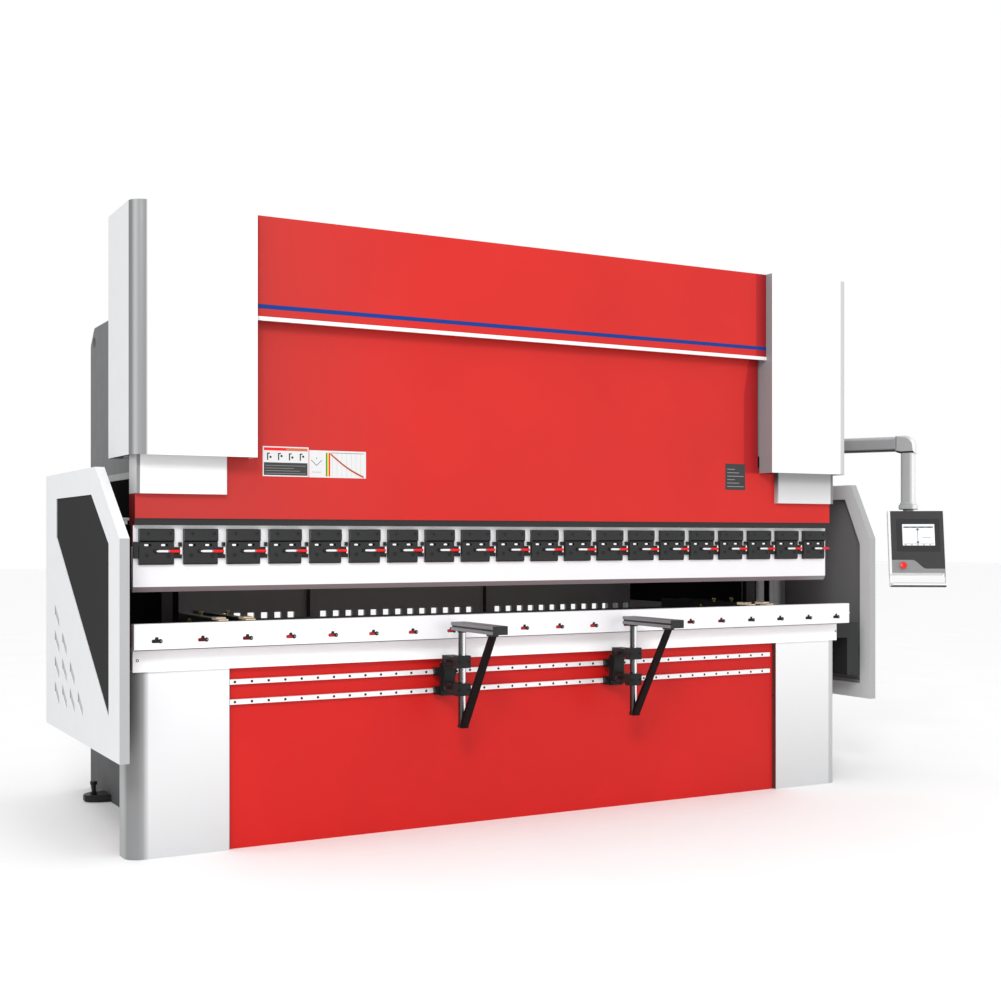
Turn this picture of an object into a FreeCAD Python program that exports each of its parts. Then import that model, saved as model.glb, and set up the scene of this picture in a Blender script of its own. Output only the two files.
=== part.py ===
# Press brake with a 4 m bed: C frames, sliding ram, back gauge, side guards and a pendant panel.
# Millimetres, +Z up, +X to the operator's right, +Y to the rear. Origin: floor, under the bend line.
import FreeCAD, Part
import Sketcher
import os
import re

V = FreeCAD.Vector
Rot = FreeCAD.Rotation
doc = FreeCAD.newDocument("PressBrake")
sheet = doc.addObject("Spreadsheet::Sheet", "Sizes")

SIZES = [
    # clearances and common values
    ("run_gap", 0.3), ("move_gap", 6), ("through", 20),
    # bed plate and its bars
    ("bed_half", 2000), ("bed_front", -55), ("bed_back", 55), ("bed_top", 1022),
    ("head_front", -131), ("head_low", 945), ("head_slope", 40),
    ("low_bar_half", 2020), ("low_bar_front", -90), ("low_bar_low", 822), ("low_bar_top", 926),
    ("top_bar_half", 2036), ("top_bar_thick", 45), ("top_bar_top", 1037),
    ("key_end", 98), ("key_count", 20), ("key_width", 46), ("key_tall", 16), ("key_round", 9),
    ("key_level", 962),
    # white cladding of the bed ends
    ("column_in", 1582), ("column_out", 2040), ("column_front", -77), ("column_back", 61),
    ("column_round", 70),
    # linear rails on the bed front
    ("rail_left", -1580), ("rail_right", 1540), ("rail_deep", 22), ("rail_tall", 22),
    ("rail_waist", 4), ("rail_high_low", 747), ("rail_low_low", 656),
    # C frames
    ("frame_out", 1772), ("frame_thick", 80), ("frame_rear", 1833), ("frame_top", 2581),
    ("frame_low_top", 930), ("jaw_front", 155), ("jaw_low", 1711), ("throat_back", 353),
    ("throat_round", 90), ("frame_corner", 90), ("lift_hole", 30), ("lift_back", 87),
    ("lift_drop", 81),
    # upper housing
    ("cover_in", 1480), ("cover_out", 2044), ("cover_front", -167), ("cover_back", 253),
    ("cover_low", 1771), ("cover_top", 2872), ("cover_round", 65), ("cover_sheet", 6),
    ("panel_front", -116), ("panel_low", 2414), ("panel_sheet", 6), ("trim_tall", 18),
    ("trim_proud", 4), ("trim_thick", 26),
    # cylinders and rods
    ("cyl_mid", 1762), ("cyl_low", 1900), ("cyl_tall", 840), ("barrel_round", 128),
    ("flange_round", 152), ("flange_tall", 60), ("seat_drop", 170),
    ("seat_half", 95), ("rod_round", 60), ("bore_deep", 660), ("rod_in", 450),
    # ram
    ("ram_half", 2000), ("ram_front", -52), ("ram_back", 48), ("ram_low", 1496),
    ("ram_room", 100), ("ram_top", 2560), ("ram_up", 60),
    ("strip_tall", 30), ("strip_set", 5),
    ("cap_in", 1592), ("cap_out", 1987), ("cap_deep", 30), ("cap_low", 1605), ("cap_round", 8),
    # upper tool and its clamps
    ("punch_front", -16), ("punch_back", 20), ("punch_low", 1192), ("tip_low", 1169),
    ("tip_half", 3),
    ("clamp_pitch", 200), ("clamp_count", 20), ("clamp_wide", 155), ("clamp_proud", 20),
    ("clamp_step_proud", 9), ("clamp_low", 1290), ("clamp_top", 1450), ("clamp_step", 1398),
    ("clamp_bevel", 8), ("link_low", 1318), ("link_tall", 50), ("link_proud", 12),
    ("lever_level", 1350), ("lever_round", 6), ("lever_from", 12), ("lever_long", 58),
    ("grip_round", 9), ("grip_long", 42),
    # rear panels and tie beam
    ("rear_plane", 1537), ("rear_sheet", 20), ("rear_low", 300), ("rear_top", 1600),
    ("post_wide", 30), ("post_proud", 12), ("panel_pitch", 1174), ("grid_pitch", 81),
    ("grid_wide", 42), ("grid_top", 980), ("grid_count", 13),
    ("tie_front", 420), ("tie_back", 900), ("tie_low", 1980), ("tie_top", 2440),
    ("tie_round", 25),
    # rear feet
    ("lug_long", 128), ("foot_front", 1343), ("foot_wide", 150), ("foot_thick", 47),
    ("foot_low", 20), ("foot_bolt", 12), ("foot_pad", 34), ("pad_tall", 14), ("bolt_stick", 70),
    # back gauge
    ("guide_wide", 40), ("guide_low", 800), ("guide_tall", 40), ("guide_front", 380),
    ("guide_back", 1480), ("gauge_front", 740), ("gauge_deep", 160), ("gauge_low", 846),
    ("gauge_tall", 139), ("shoe_wide", 92), ("shoe_extra", 20), ("finger_tall", 50),
    ("finger_tip", 50), ("finger_step", 158), ("finger_nose", 88), ("finger_wide", 44),
    ("finger_pitch", 130), ("nose_rise", 6), ("nose_tall", 14), ("finger_left", -1568),
    ("finger_right", 1518),
    # side guards
    ("guard_in", 2085), ("guard_thick", 42), ("guard_sheet", 4), ("guard_lip", 85),
    ("guard_front", -297), ("guard_back", 1250), ("guard_low", 460), ("guard_bend", 1407),
    ("guard_slope", 153), ("guard_top", 1727),
    ("far_guard_in", 2334), ("far_guard_front", -32), ("far_guard_slope", 129),
    ("window_side", 193), ("window_low", 632), ("window_rear", 260), ("window_drop", 122),
    ("diamond_wide", 104), ("diamond_tall", 122), ("diamond_edge", 52), ("diamond_step", 176),
    ("diamond_rise", 128), ("diamond_rear", 273), ("diamond_low", 632), ("pane_thick", 5),
    ("pane_edge", 105), ("pane_low", 560),
    ("arm_at", 1000), ("arm_thick", 40), ("arm_high", 1480), ("arm_down", 700), ("bar_tall", 30),
    ("end_head_out", 2267), ("end_leg_in", 2178), ("end_front", -7), ("end_back", 150),
    ("end_top", 910), ("end_head_tall", 84), ("end_low", 607), ("end_beam_wide", 60),
    # sheet rests
    ("rest_left_at", -501), ("rest_right_at", 484), ("rest_wide", 76), ("rest_back", -229),
    ("rest_front", -647), ("rest_low", 969), ("rest_tall", 40), ("slot_deep", 7),
    ("slot_tall", 9), ("cap_plate", 5), ("post_round", 18), ("post_at", -272), ("post_low", 506),
    ("brace_wide", 38), ("brace_thick", 12), ("slide_wide", 72), ("slide_low", 644),
    ("slide_top", 804), ("slide_thick", 18), ("runner_wide", 104), ("runner_tall", 40),
    ("runner_thick", 24), ("bracket_wide", 60), ("bracket_low", 667), ("bracket_tall", 175),
    ("bracket_arm", 44), ("bracket_web", 24), ("jaw_wide", 72), ("jaw_deep", 44),
    ("jaw_tall", 59), ("jaw_high", 790), ("jaw_down", 658),
    # pendant
    ("swing_x", 1872), ("swing_y", 1586), ("arm_turn", 30), ("arm_long", 1749),
    ("arm_wide", 80), ("arm_low", 1940), ("arm_tall", 90), ("elbow_round", 62),
    ("elbow_wide", 92), ("elbow_long", 70), ("elbow_proud", 4), ("elbow_drop", 13),
    ("hub_round", 60), ("pivot_round", 45), ("pin_round", 22),
    ("drop_low", 1583), ("collar_wide", 104), ("collar_tall", 42),
    ("case_wide", 329), ("case_deep", 84), ("case_fore", 60), ("case_shift", 32),
    ("case_tall", 383), ("case_top", 1559), ("case_round", 8), ("case_turn", -36),
    ("case_lean", 13), ("side_bar", 9), ("side_deep", 40), ("grip_drop", 82),
    ("grip_thick", 22), ("grip_deep", 26), ("bezel_half", 126), ("bezel_top", 50),
    ("bezel_tall", 200), ("bezel_proud", 3), ("screen_half", 98), ("screen_top", 82),
    ("screen_tall", 132), ("stop_side", 98), ("stop_down", 340), ("stop_round", 22),
    ("stop_long", 26),
]
NAMES = [pair[0] for pair in SIZES]
row = 0
for alias, number in SIZES:
    row = row + 1
    sheet.set("A%d" % row, alias)
    sheet.set("B%d" % row, "%g" % number)
    sheet.setAlias("B%d" % row, alias)
doc.recompute()


# Turn bare size names into references to the sheet.
def refer(text):
    def swap(found):
        word = found.group(0)
        return "Sizes." + word if word in NAMES else word
    return re.sub(r"[a-z][a-z_]*", swap, str(text))


def bind(obj, prop, text):
    obj.setExpression(prop, refer(text))


# Start value of a size expression, used for the first drawing of a sketch.
def start_value(text):
    words = re.findall(r"[a-z][a-z_]*|[0-9.]+|[-+*/()]", str(text))
    return float(sum_of(words, dict(SIZES))[0])


def sum_of(words, table):
    value, words = product_of(words, table)
    while words and words[0] in "+-":
        sign = words[0]
        other, words = product_of(words[1:], table)
        value = value + other if sign == "+" else value - other
    return value, words


def product_of(words, table):
    value, words = single_of(words, table)
    while words and words[0] in "*/":
        sign = words[0]
        other, words = single_of(words[1:], table)
        value = value * other if sign == "*" else value / other
    return value, words


def single_of(words, table):
    head = words[0]
    if head == "-":
        value, words = single_of(words[1:], table)
        return -value, words
    if head == "(":
        value, words = sum_of(words[1:], table)
        return value, words[1:]
    if head in table:
        return float(table[head]), words[1:]
    return float(head), words[1:]


def named(kind, label):
    obj = doc.addObject(kind, label)
    obj.Label = label
    return obj


def set_base(obj, x, y, z):
    bind(obj, "Placement.Base.x", x)
    bind(obj, "Placement.Base.y", y)
    bind(obj, "Placement.Base.z", z)


def box(label, x0, x1, y0, y1, z0, z1):
    obj = named("Part::Box", label)
    bind(obj, "Length", "(%s) - (%s)" % (x1, x0))
    bind(obj, "Width", "(%s) - (%s)" % (y1, y0))
    bind(obj, "Height", "(%s) - (%s)" % (z1, z0))
    set_base(obj, x0, y0, z0)
    return obj


TURN = {"z": Rot(), "y": Rot(V(1, 0, 0), -90), "x": Rot(V(0, 1, 0), 90)}


def rod(label, radius, length, x, y, z, axis="z"):
    obj = named("Part::Cylinder", label)
    obj.Placement = FreeCAD.Placement(V(), TURN[axis])
    bind(obj, "Radius", radius)
    bind(obj, "Height", length)
    set_base(obj, x, y, z)
    return obj


def fuse(label, pieces):
    obj = named("Part::MultiFuse", label)
    obj.Shapes = pieces
    obj.Refine = True
    return obj


def cut(label, base, tools):
    obj = named("Part::Cut", label)
    obj.Base = base
    obj.Tool = tools[0] if len(tools) == 1 else fuse(label + "_tools", tools)
    obj.Refine = True
    return obj


# Sketches of closed loops, each corner held by two bound distances.
PLANES = {"YZ": Rot(0.5, 0.5, 0.5, 0.5), "XZ": Rot(V(1, 0, 0), 90), "XY": Rot()}
NORMAL = {"YZ": "x", "XZ": "y", "XY": "z"}


def loops(body, label, plane, level, outlines):
    sketch = body.newObject("Sketcher::SketchObject", label)
    sketch.Placement = FreeCAD.Placement(V(), PLANES[plane])
    bind(sketch, "Placement.Base." + NORMAL[plane], level)
    first = 0
    for points in outlines:
        spots = [(start_value(u), start_value(v)) for u, v in points]
        count = len(points)
        for i in range(count):
            a = V(spots[i][0], spots[i][1], 0)
            b = V(spots[(i + 1) % count][0], spots[(i + 1) % count][1], 0)
            sketch.addGeometry(Part.LineSegment(a, b), False)
        for i in range(count):
            sketch.addConstraint(Sketcher.Constraint(
                "Coincident", first + i, 2, first + (i + 1) % count, 1))
        for i in range(count):
            for way, kind in enumerate(("DistanceX", "DistanceY")):
                name = "%s%d" % ("uv"[way], first + i)
                place = sketch.addConstraint(Sketcher.Constraint(
                    kind, -1, 1, first + i, 1, spots[i][way]))
                sketch.renameConstraint(place, name)
                bind(sketch, "Constraints." + name, points[i][way])
        first = first + count
    return sketch


def pad(body, label, plane, start, end, outlines):
    sketch = loops(body, label + "_sketch", plane, end if plane == "XZ" else start, outlines)
    feature = body.newObject("PartDesign::Pad", label)
    feature.Profile = sketch
    bind(feature, "Length", "(%s) - (%s)" % (end, start))
    body.Tip = feature
    return sketch, feature


def plate(label, plane, start, end, *outlines):
    body = named("PartDesign::Body", label)
    pad(body, label + "_pad", plane, start, end, outlines)
    return body


def pocket(body, label, plane, start, end, *outlines):
    sketch = loops(body, label + "_sketch", plane, "((%s) + (%s)) / 2" % (start, end), outlines)
    feature = body.newObject("PartDesign::Pocket", label)
    feature.Profile = sketch
    feature.Midplane = True
    bind(feature, "Length", "(%s) - (%s)" % (end, start))
    body.Tip = feature
    return sketch, feature


def repeat(body, label, features, sketch, axis, length, count):
    row_of = body.newObject("PartDesign::LinearPattern", label)
    row_of.Originals = features
    row_of.Direction = (sketch, [axis])
    bind(row_of, "Length", length)
    bind(row_of, "Occurrences", count)
    body.Tip = row_of
    return row_of


def revolve(label, x, y, points):
    body = named("PartDesign::Body", label)
    sketch = loops(body, label + "_profile", "XZ", y, [points])
    bind(sketch, "Placement.Base.x", x)
    feature = body.newObject("PartDesign::Revolution", label + "_turned")
    feature.Profile = sketch
    feature.ReferenceAxis = (sketch, ["V_Axis"])
    feature.Angle = 360
    body.Tip = feature
    return body


# Name of the straight edge along one axis that lies nearest to two other coordinates.
def edge_along(shape, axis, p, q):
    others = [k for k in (0, 1, 2) if k != axis]
    best = (1e9, "")
    for index, edge in enumerate(shape.Edges):
        ends = [vertex.Point for vertex in edge.Vertexes]
        if len(ends) != 2:
            continue
        if max(abs(ends[0][k] - ends[1][k]) for k in others) > 0.01:
            continue
        away = abs(ends[0][others[0]] - p) + abs(ends[0][others[1]] - q)
        if away < best[0]:
            best = (away, "Edge%d" % (index + 1))
    return best[1]


def round_edges(body, label, axis, places, radius):
    doc.recompute()
    base = body.Tip
    names = []
    for p, q in places:
        names.append(edge_along(base.Shape, axis, start_value(p), start_value(q)))
    fillet = body.newObject("PartDesign::Fillet", label)
    fillet.Base = (base, names)
    bind(fillet, "Radius", radius)
    body.Tip = fillet
    doc.recompute()
    return fillet


# Name of the flat face that lies at a level along one axis.
def face_at(shape, axis, level):
    best = (1e9, "")
    for index, face in enumerate(shape.Faces):
        bounds = face.BoundBox
        low = (bounds.XMin, bounds.YMin, bounds.ZMin)[axis]
        high = (bounds.XMax, bounds.YMax, bounds.ZMax)[axis]
        away = abs(low - level) + abs(high - level)
        if away < best[0]:
            best = (away, "Face%d" % (index + 1))
    return best[1]


NODES = []


def node(obj):
    NODES.append(obj)
    return obj


def mirrored(side, a, b):
    if side > 0:
        return a, b
    return "-(%s)" % b, "-(%s)" % a


# C frames: flame-cut plates with a rounded throat and a lifting hole
def frame(label, side):
    low, high = mirrored(side, "frame_out - frame_thick", "frame_out")
    body = plate(label, "YZ", low, high, [
        ("bed_back", "0"), ("frame_rear", "0"), ("frame_rear", "frame_top - frame_corner"),
        ("frame_rear - frame_corner", "frame_top"), ("jaw_front", "frame_top"),
        ("jaw_front", "jaw_low"), ("throat_back", "jaw_low"), ("throat_back", "frame_low_top"),
        ("bed_back", "frame_low_top")])
    round_edges(body, label + "_throat", 0, [("throat_back", "jaw_low"),
                                             ("throat_back", "frame_low_top")], "throat_round")
    round_edges(body, label + "_corner", 0, [
        ("frame_rear", "frame_top - frame_corner"), ("frame_rear - frame_corner", "frame_top")],
        "frame_corner / 2")
    doc.recompute()
    hole = rod(label + "_lift", "lift_hole", "frame_thick + through", low + " - through / 2",
               "frame_rear - lift_back", "frame_top - lift_drop", "x")
    body.Label = label + "_plate"
    return node(cut(label + "_drilled", body, [hole]))


def relabel(obj, label):
    obj.Label = label
    return obj


relabel(frame("frame_left", -1), "frame_left")
relabel(frame("frame_right", 1), "frame_right")

# Bed plate with a nose that carries the keyholed bar
node(plate("bed_plate", "YZ", "-bed_half", "bed_half", [
    ("bed_front", "0"), ("bed_back", "0"), ("bed_back", "bed_top"), ("head_front", "bed_top"),
    ("head_front", "head_low + head_slope"), ("bed_front", "head_low")]))
lower_bar = plate("bed_lower_bar", "YZ", "-low_bar_half", "low_bar_half", [
    ("low_bar_front", "low_bar_low"), ("bed_front", "low_bar_low"), ("bed_front", "low_bar_top"),
    ("low_bar_front", "low_bar_top")])
node(lower_bar)
top_bar = plate("bed_top_bar", "XZ", "head_front - top_bar_thick", "head_front", [
    ("-top_bar_half", "low_bar_top"), ("top_bar_half", "low_bar_top"),
    ("top_bar_half", "top_bar_top"), ("-top_bar_half", "top_bar_top")])
first = "key_end - top_bar_half"
key_low = "key_level - key_tall / 2"
key_mid = "key_level + key_tall / 2"
key_sketch, key_cut = pocket(
    top_bar, "keyhole", "XZ", "head_front - top_bar_thick - through", "head_front + through", [
        (first + " - key_width / 2 + key_tall / 4", key_low),
        (first + " + key_width / 2 - key_tall / 4", key_low),
        (first + " + key_width / 2", "key_level"),
        (first + " + key_width / 2 - key_tall / 4", key_mid),
        (first + " + key_round", key_mid),
        (first + " + key_round * 0.7", key_mid + " + key_round"),
        (first + " - key_round * 0.7", key_mid + " + key_round"),
        (first + " - key_round", key_mid),
        (first + " - key_width / 2 + key_tall / 4", key_mid),
        (first + " - key_width / 2", "key_level")])
repeat(top_bar, "keyholes", [key_cut], key_sketch, "H_Axis", "2 * (top_bar_half - key_end)",
       "key_count")
node(top_bar)


# Cladding of the bed ends, with a large rounded outer corner
def column(label, side):
    sign = "" if side > 0 else "-"
    body = plate(label, "XY", "0", "low_bar_low", [
        (sign + "column_in", "column_front"), (sign + "column_out", "column_front"),
        (sign + "column_out", "column_back"), (sign + "bed_half", "column_back"),
        (sign + "bed_half", "bed_front"), (sign + "column_in", "bed_front")])
    round_edges(body, label + "_round", 2, [(sign + "column_out", "column_front")],
                "column_round")
    return node(body)


column("column_left", -1)
column("column_right", 1)


# Linear rails with a waisted section
def rail(label, low):
    face = "bed_front - rail_deep"
    top = low + " + rail_tall"
    return node(plate(label, "YZ", "rail_left", "rail_right", [
        ("bed_front", low), ("bed_front", top), (face + " + rail_deep * 0.6", top),
        (face + " + rail_deep * 0.45", top + " - rail_waist"),
        (face + " + rail_deep * 0.25", top), (face, top), (face, low),
        (face + " + rail_deep * 0.25", low),
        (face + " + rail_deep * 0.45", low + " + rail_waist"),
        (face + " + rail_deep * 0.6", low)]))


rail("rail_upper", "rail_high_low")
rail("rail_lower", "rail_low_low")


# Cylinder covers: shelled housings, open below, slotted for the frame and the ram
def cover(label, side):
    low, high = mirrored(side, "cover_in", "cover_out")
    body = plate(label, "XY", "cover_low", "cover_top", [
        (low, "cover_front"), (high, "cover_front"), (high, "cover_back"), (low, "cover_back")])
    round_edges(body, label + "_round", 2,
                [(high if side > 0 else low, "cover_front")], "cover_round")
    base = body.Tip
    floor = face_at(base.Shape, 2, start_value("cover_low"))
    wall = body.newObject("PartDesign::Thickness", label + "_wall")
    wall.Base = (base, [floor])
    bind(wall, "Value", "cover_sheet")
    wall.Reversed = True
    body.Tip = wall
    a, b = mirrored(side, "frame_out - frame_thick", "frame_out")
    pocket(body, label + "_slot", "XZ", "cover_back - cover_sheet - 2", "cover_back + 2", [
        (a, "cover_low - through"), (b, "cover_low - through"), (b, "frame_top"),
        (a, "frame_top")])
    a, b = mirrored(side, "cover_in - 2", "cover_in + cover_sheet + 2")
    pocket(body, label + "_notch", "YZ", a, b, [
        ("ram_front - move_gap", "cover_low - through"),
        ("ram_back + move_gap", "cover_low - through"),
        ("ram_back + move_gap", "cyl_low - ram_room + ram_up + move_gap"),
        ("ram_front - move_gap", "cyl_low - ram_room + ram_up + move_gap")])
    return node(body)


cover("cover_left", -1)
cover("cover_right", 1)

# Upper front panel, folded over the top, and the trim under it
skin_in = "panel_front + panel_sheet"
node(plate("front_panel", "YZ", "-cover_in", "cover_in", [
    ("panel_front", "panel_low"), ("panel_front", "cover_top - 1"),
    ("cover_back", "cover_top - 1"), ("cover_back", "cover_top - 1 - panel_sheet"),
    (skin_in, "cover_top - 1 - panel_sheet"), (skin_in, "panel_low")]))
trim_face = "panel_front - trim_proud"
node(plate("panel_trim", "YZ", "-cover_in", "cover_in", [
    (trim_face, "panel_low - trim_tall"), (trim_face, "panel_low"),
    (trim_face + " + trim_thick", "panel_low"),
    (trim_face + " + trim_thick", "panel_low - trim_tall / 2"),
    (trim_face + " + trim_thick / 2", "panel_low - trim_tall / 2"),
    (trim_face + " + trim_thick / 2", "panel_low - trim_tall")]))


# Cylinders: turned flange, barrel and head with a blind bore, and a seat on the frame
def cylinder(label, sign):
    bore = "rod_round + run_gap"
    top = "cyl_low + cyl_tall"
    turned = revolve(label + "_turned", sign + "cyl_mid", "0", [
        (bore, "cyl_low"), ("flange_round", "cyl_low"),
        ("flange_round", "cyl_low + flange_tall"), ("barrel_round", "cyl_low + flange_tall"),
        ("barrel_round", top), ("0", top), ("0", "cyl_low + bore_deep"),
        (bore, "cyl_low + bore_deep")])
    seat = box(label + "_seat", sign + "cyl_mid - seat_half", sign + "cyl_mid + seat_half",
               "barrel_round / 2 + 10", "jaw_front", "cyl_low + flange_tall",
               "cyl_low + cyl_tall - seat_drop")
    bore_tool = rod(label + "_bore", bore, "bore_deep", sign + "cyl_mid", "0", "cyl_low")
    return node(cut(label, fuse(label + "_body", [turned, seat]), [bore_tool]))


cylinder("cylinder_left", "-")
cylinder("cylinder_right", "")
ram_wide_top = "cyl_low - ram_room"
node(rod("rod_left", "rod_round", "ram_room + rod_in", "-cyl_mid", "0", ram_wide_top))
node(rod("rod_right", "rod_round", "ram_room + rod_in", "cyl_mid", "0", ram_wide_top))

# Ram plate: full length below, narrowed between the cylinder covers above
neck = "cover_in - move_gap"
node(plate("ram_plate", "XZ", "ram_front", "ram_back", [
    ("-ram_half", "ram_low"), ("ram_half", "ram_low"), ("ram_half", ram_wide_top),
    (neck, ram_wide_top), (neck, "ram_top"), ("-(%s)" % neck, "ram_top"),
    ("-(%s)" % neck, ram_wide_top), ("-ram_half", ram_wide_top)]))
node(box("ram_strip", "-ram_half", "ram_half", "ram_front + strip_set", "ram_back",
         "ram_low - strip_tall", "ram_low"))


def ram_cap(label, side):
    low, high = mirrored(side, "cap_in", "cap_out")
    body = plate(label, "XY", "cap_low", ram_wide_top + " - move_gap", [
        (low, "ram_front - cap_deep"), (high, "ram_front - cap_deep"), (high, "ram_front"),
        (low, "ram_front")])
    round_edges(body, label + "_round", 2, [(low, "ram_front - cap_deep"),
                                            (high, "ram_front - cap_deep")], "cap_round")
    return node(body)


ram_cap("ram_cap_left", -1)
ram_cap("ram_cap_right", 1)

# Upper tool: long ground punch with a bevelled nose
node(plate("punch_bar", "YZ", "-ram_half", "ram_half", [
    ("punch_front", "ram_low - strip_tall"), ("punch_front", "punch_low"),
    ("-tip_half", "tip_low"), ("tip_half", "tip_low"), ("punch_back", "punch_low"),
    ("punch_back", "ram_low - strip_tall")]))

# Row of tool clamps: stepped blocks with a lever each, on a common link bar
row_start = "-clamp_pitch * (clamp_count - 1) / 2"
clamp_face = "punch_front - clamp_proud"
step_face = clamp_face + " - clamp_step_proud"
clamps = plate("tool_clamps", "YZ", "-ram_half", "ram_half", [
    ("punch_front - link_proud", "link_low"), ("punch_front", "link_low"),
    ("punch_front", "link_low + link_tall"),
    ("punch_front - link_proud", "link_low + link_tall")])
block_sketch, block = pad(
    clamps, "clamp_block", "YZ", row_start + " - clamp_wide / 2",
    row_start + " + clamp_wide / 2", [[
        ("punch_front", "clamp_low"), (clamp_face + " + clamp_bevel", "clamp_low"),
        (clamp_face, "clamp_low + clamp_bevel"), (clamp_face, "clamp_step - clamp_step_proud"),
        (step_face, "clamp_step"), (step_face, "clamp_top - clamp_bevel"),
        (step_face + " + clamp_bevel", "clamp_top"), ("punch_front", "clamp_top")]])


def hexagon(y, z, r):
    return [(y + " - " + r, z), (y + " - %s / 2" % r, z + " - %s * 0.866" % r),
            (y + " + %s / 2" % r, z + " - %s * 0.866" % r), (y + " + " + r, z),
            (y + " + %s / 2" % r, z + " + %s * 0.866" % r),
            (y + " - %s / 2" % r, z + " + %s * 0.866" % r)]


lever_y = clamp_face + " - lever_round / 2"
lever_sketch, lever = pad(
    clamps, "clamp_lever", "YZ", row_start + " + lever_from",
    row_start + " + lever_from + lever_long", [hexagon(lever_y, "lever_level", "lever_round")])
grip_sketch, grip = pad(
    clamps, "clamp_grip", "YZ", row_start + " + lever_from + lever_long",
    row_start + " + lever_from + lever_long + grip_long",
    [hexagon(lever_y, "lever_level", "grip_round")])
repeat(clamps, "clamp_row", [block, lever, grip], block_sketch, "N_Axis",
       "clamp_pitch * (clamp_count - 1)", "clamp_count")
node(clamps)

# Rear enclosure: vented sheet with posts, in three bays between the frames
inner = "frame_out - frame_thick"
rear = plate("rear_panels", "XZ", "rear_plane", "rear_plane + rear_sheet", [
    ("-(%s)" % inner, "rear_low"), (inner, "rear_low"), (inner, "rear_top"),
    ("-(%s)" % inner, "rear_top")])
for index in (-1, 0, 1):
    start = "%d * panel_pitch - grid_pitch * (grid_count - 1) / 2" % index
    vent_sketch, vent = pocket(
        rear, "vent_%s" % "abc"[index + 1], "XZ", "rear_plane - through",
        "rear_plane + rear_sheet + through", [
            (start + " - grid_wide / 2", "grid_top - grid_wide"),
            (start + " + grid_wide / 2", "grid_top - grid_wide"),
            (start + " + grid_wide / 2", "grid_top"), (start + " - grid_wide / 2", "grid_top")])
    repeat(rear, "vents_%s" % "abc"[index + 1], [vent], vent_sketch, "H_Axis",
           "grid_pitch * (grid_count - 1)", "grid_count")
for index in (-1, 1):
    middle = "%d * panel_pitch / 2" % index
    pad(rear, "post_%s" % "abc"[index + 1], "XZ", "rear_plane - post_proud",
        "rear_plane + rear_sheet + post_proud", [[
            (middle + " - post_wide / 2", "rear_low"), (middle + " + post_wide / 2", "rear_low"),
            (middle + " + post_wide / 2", "rear_top"),
            (middle + " - post_wide / 2", "rear_top")]])
node(rear)
tie = plate("tie_beam", "YZ", "-(%s)" % inner, inner, [
    ("tie_front", "tie_low"), ("tie_back", "tie_low"), ("tie_back", "tie_top"),
    ("tie_front", "tie_top")])
round_edges(tie, "tie_round_edges", 0, [
    ("tie_front", "tie_low"), ("tie_back", "tie_low"), ("tie_back", "tie_top"),
    ("tie_front", "tie_top")], "tie_round")
node(tie)


# Rear feet: rounded lug on the frame with a levelling bolt
def foot(label, side):
    low, high = mirrored(side, "frame_out", "frame_out + lug_long")
    lug = plate(label + "_lug", "XY", "foot_low", "foot_low + foot_thick", [
        (low, "foot_front"), (high, "foot_front"), (high, "foot_front + foot_wide"),
        (low, "foot_front + foot_wide")])
    outer = high if side > 0 else low
    round_edges(lug, label + "_round", 2, [(outer, "foot_front"),
                                           (outer, "foot_front + foot_wide")], "foot_wide / 3")
    sign = "" if side > 0 else "-"
    bolt_x = sign + "(frame_out + lug_long * 0.6)"
    bolt = revolve(label + "_bolt", bolt_x, "foot_front + foot_wide / 2", [
        ("0", "0"), ("foot_pad", "0"), ("foot_pad", "pad_tall"), ("foot_bolt", "pad_tall"),
        ("foot_bolt", "foot_low + foot_thick + bolt_stick"),
        ("0", "foot_low + foot_thick + bolt_stick")])
    return node(fuse(label, [lug, bolt]))


foot("rear_foot_left", -1)
foot("rear_foot_right", 1)


# Back gauge: guides on the frames, cross beam on shoes, stepped fingers
def guide(label, side):
    low, high = mirrored(side, inner + " - guide_wide", inner)
    return node(box(label, low, high, "guide_front", "guide_back", "guide_low",
                    "guide_low + guide_tall"))


guide("gauge_guide_left", -1)
guide("gauge_guide_right", 1)
beam_half = inner + " - guide_wide - move_gap"
gauge_bar = box("gauge_bar", "-(%s)" % beam_half, beam_half, "gauge_front",
                "gauge_front + gauge_deep", "gauge_low", "gauge_low + gauge_tall")
gauge_parts = [gauge_bar]
for name, side in (("left", -1), ("right", 1)):
    low, high = mirrored(side, inner + " - shoe_wide - move_gap", inner + " - move_gap")
    gauge_parts.append(box("gauge_shoe_" + name, low, high, "gauge_front - shoe_extra",
                           "gauge_front + gauge_deep + shoe_extra",
                           "guide_low + guide_tall + run_gap",
                           "gauge_low + gauge_tall / 3"))
node(fuse("gauge_beam", gauge_parts))


def fingers(label, start):
    level = "gauge_low + gauge_tall"
    back = "gauge_front + gauge_deep"
    nose = level + " + finger_tall - nose_rise"
    pieces = []
    for index in (0, 1):
        x = "%s + %d * finger_pitch" % (start, index)
        pieces.append(plate("%s_bar_%d" % (label, index), "YZ", x + " - finger_wide / 2",
                            x + " + finger_wide / 2", [
            (back, level), (back, level + " + finger_tall"),
            ("finger_step", level + " + finger_tall"),
            ("finger_step", nose + " + nose_tall"), ("finger_nose", nose + " + nose_tall"),
            ("finger_nose", nose + " + nose_tall / 2"), ("finger_tip", nose + " + nose_tall / 2"),
            ("finger_tip", nose), ("finger_step", nose), ("finger_step + 40", level)]))
    pieces.append(box(label + "_slide", "%s - finger_wide / 2" % start,
                      "%s + finger_pitch + finger_wide / 2" % start, "gauge_front + shoe_extra",
                      "gauge_front + gauge_deep", level, level + " + finger_tall / 2"))
    return node(fuse(label, pieces))


fingers("gauge_fingers_left", "finger_left")
fingers("gauge_fingers_right", "finger_right")


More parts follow.
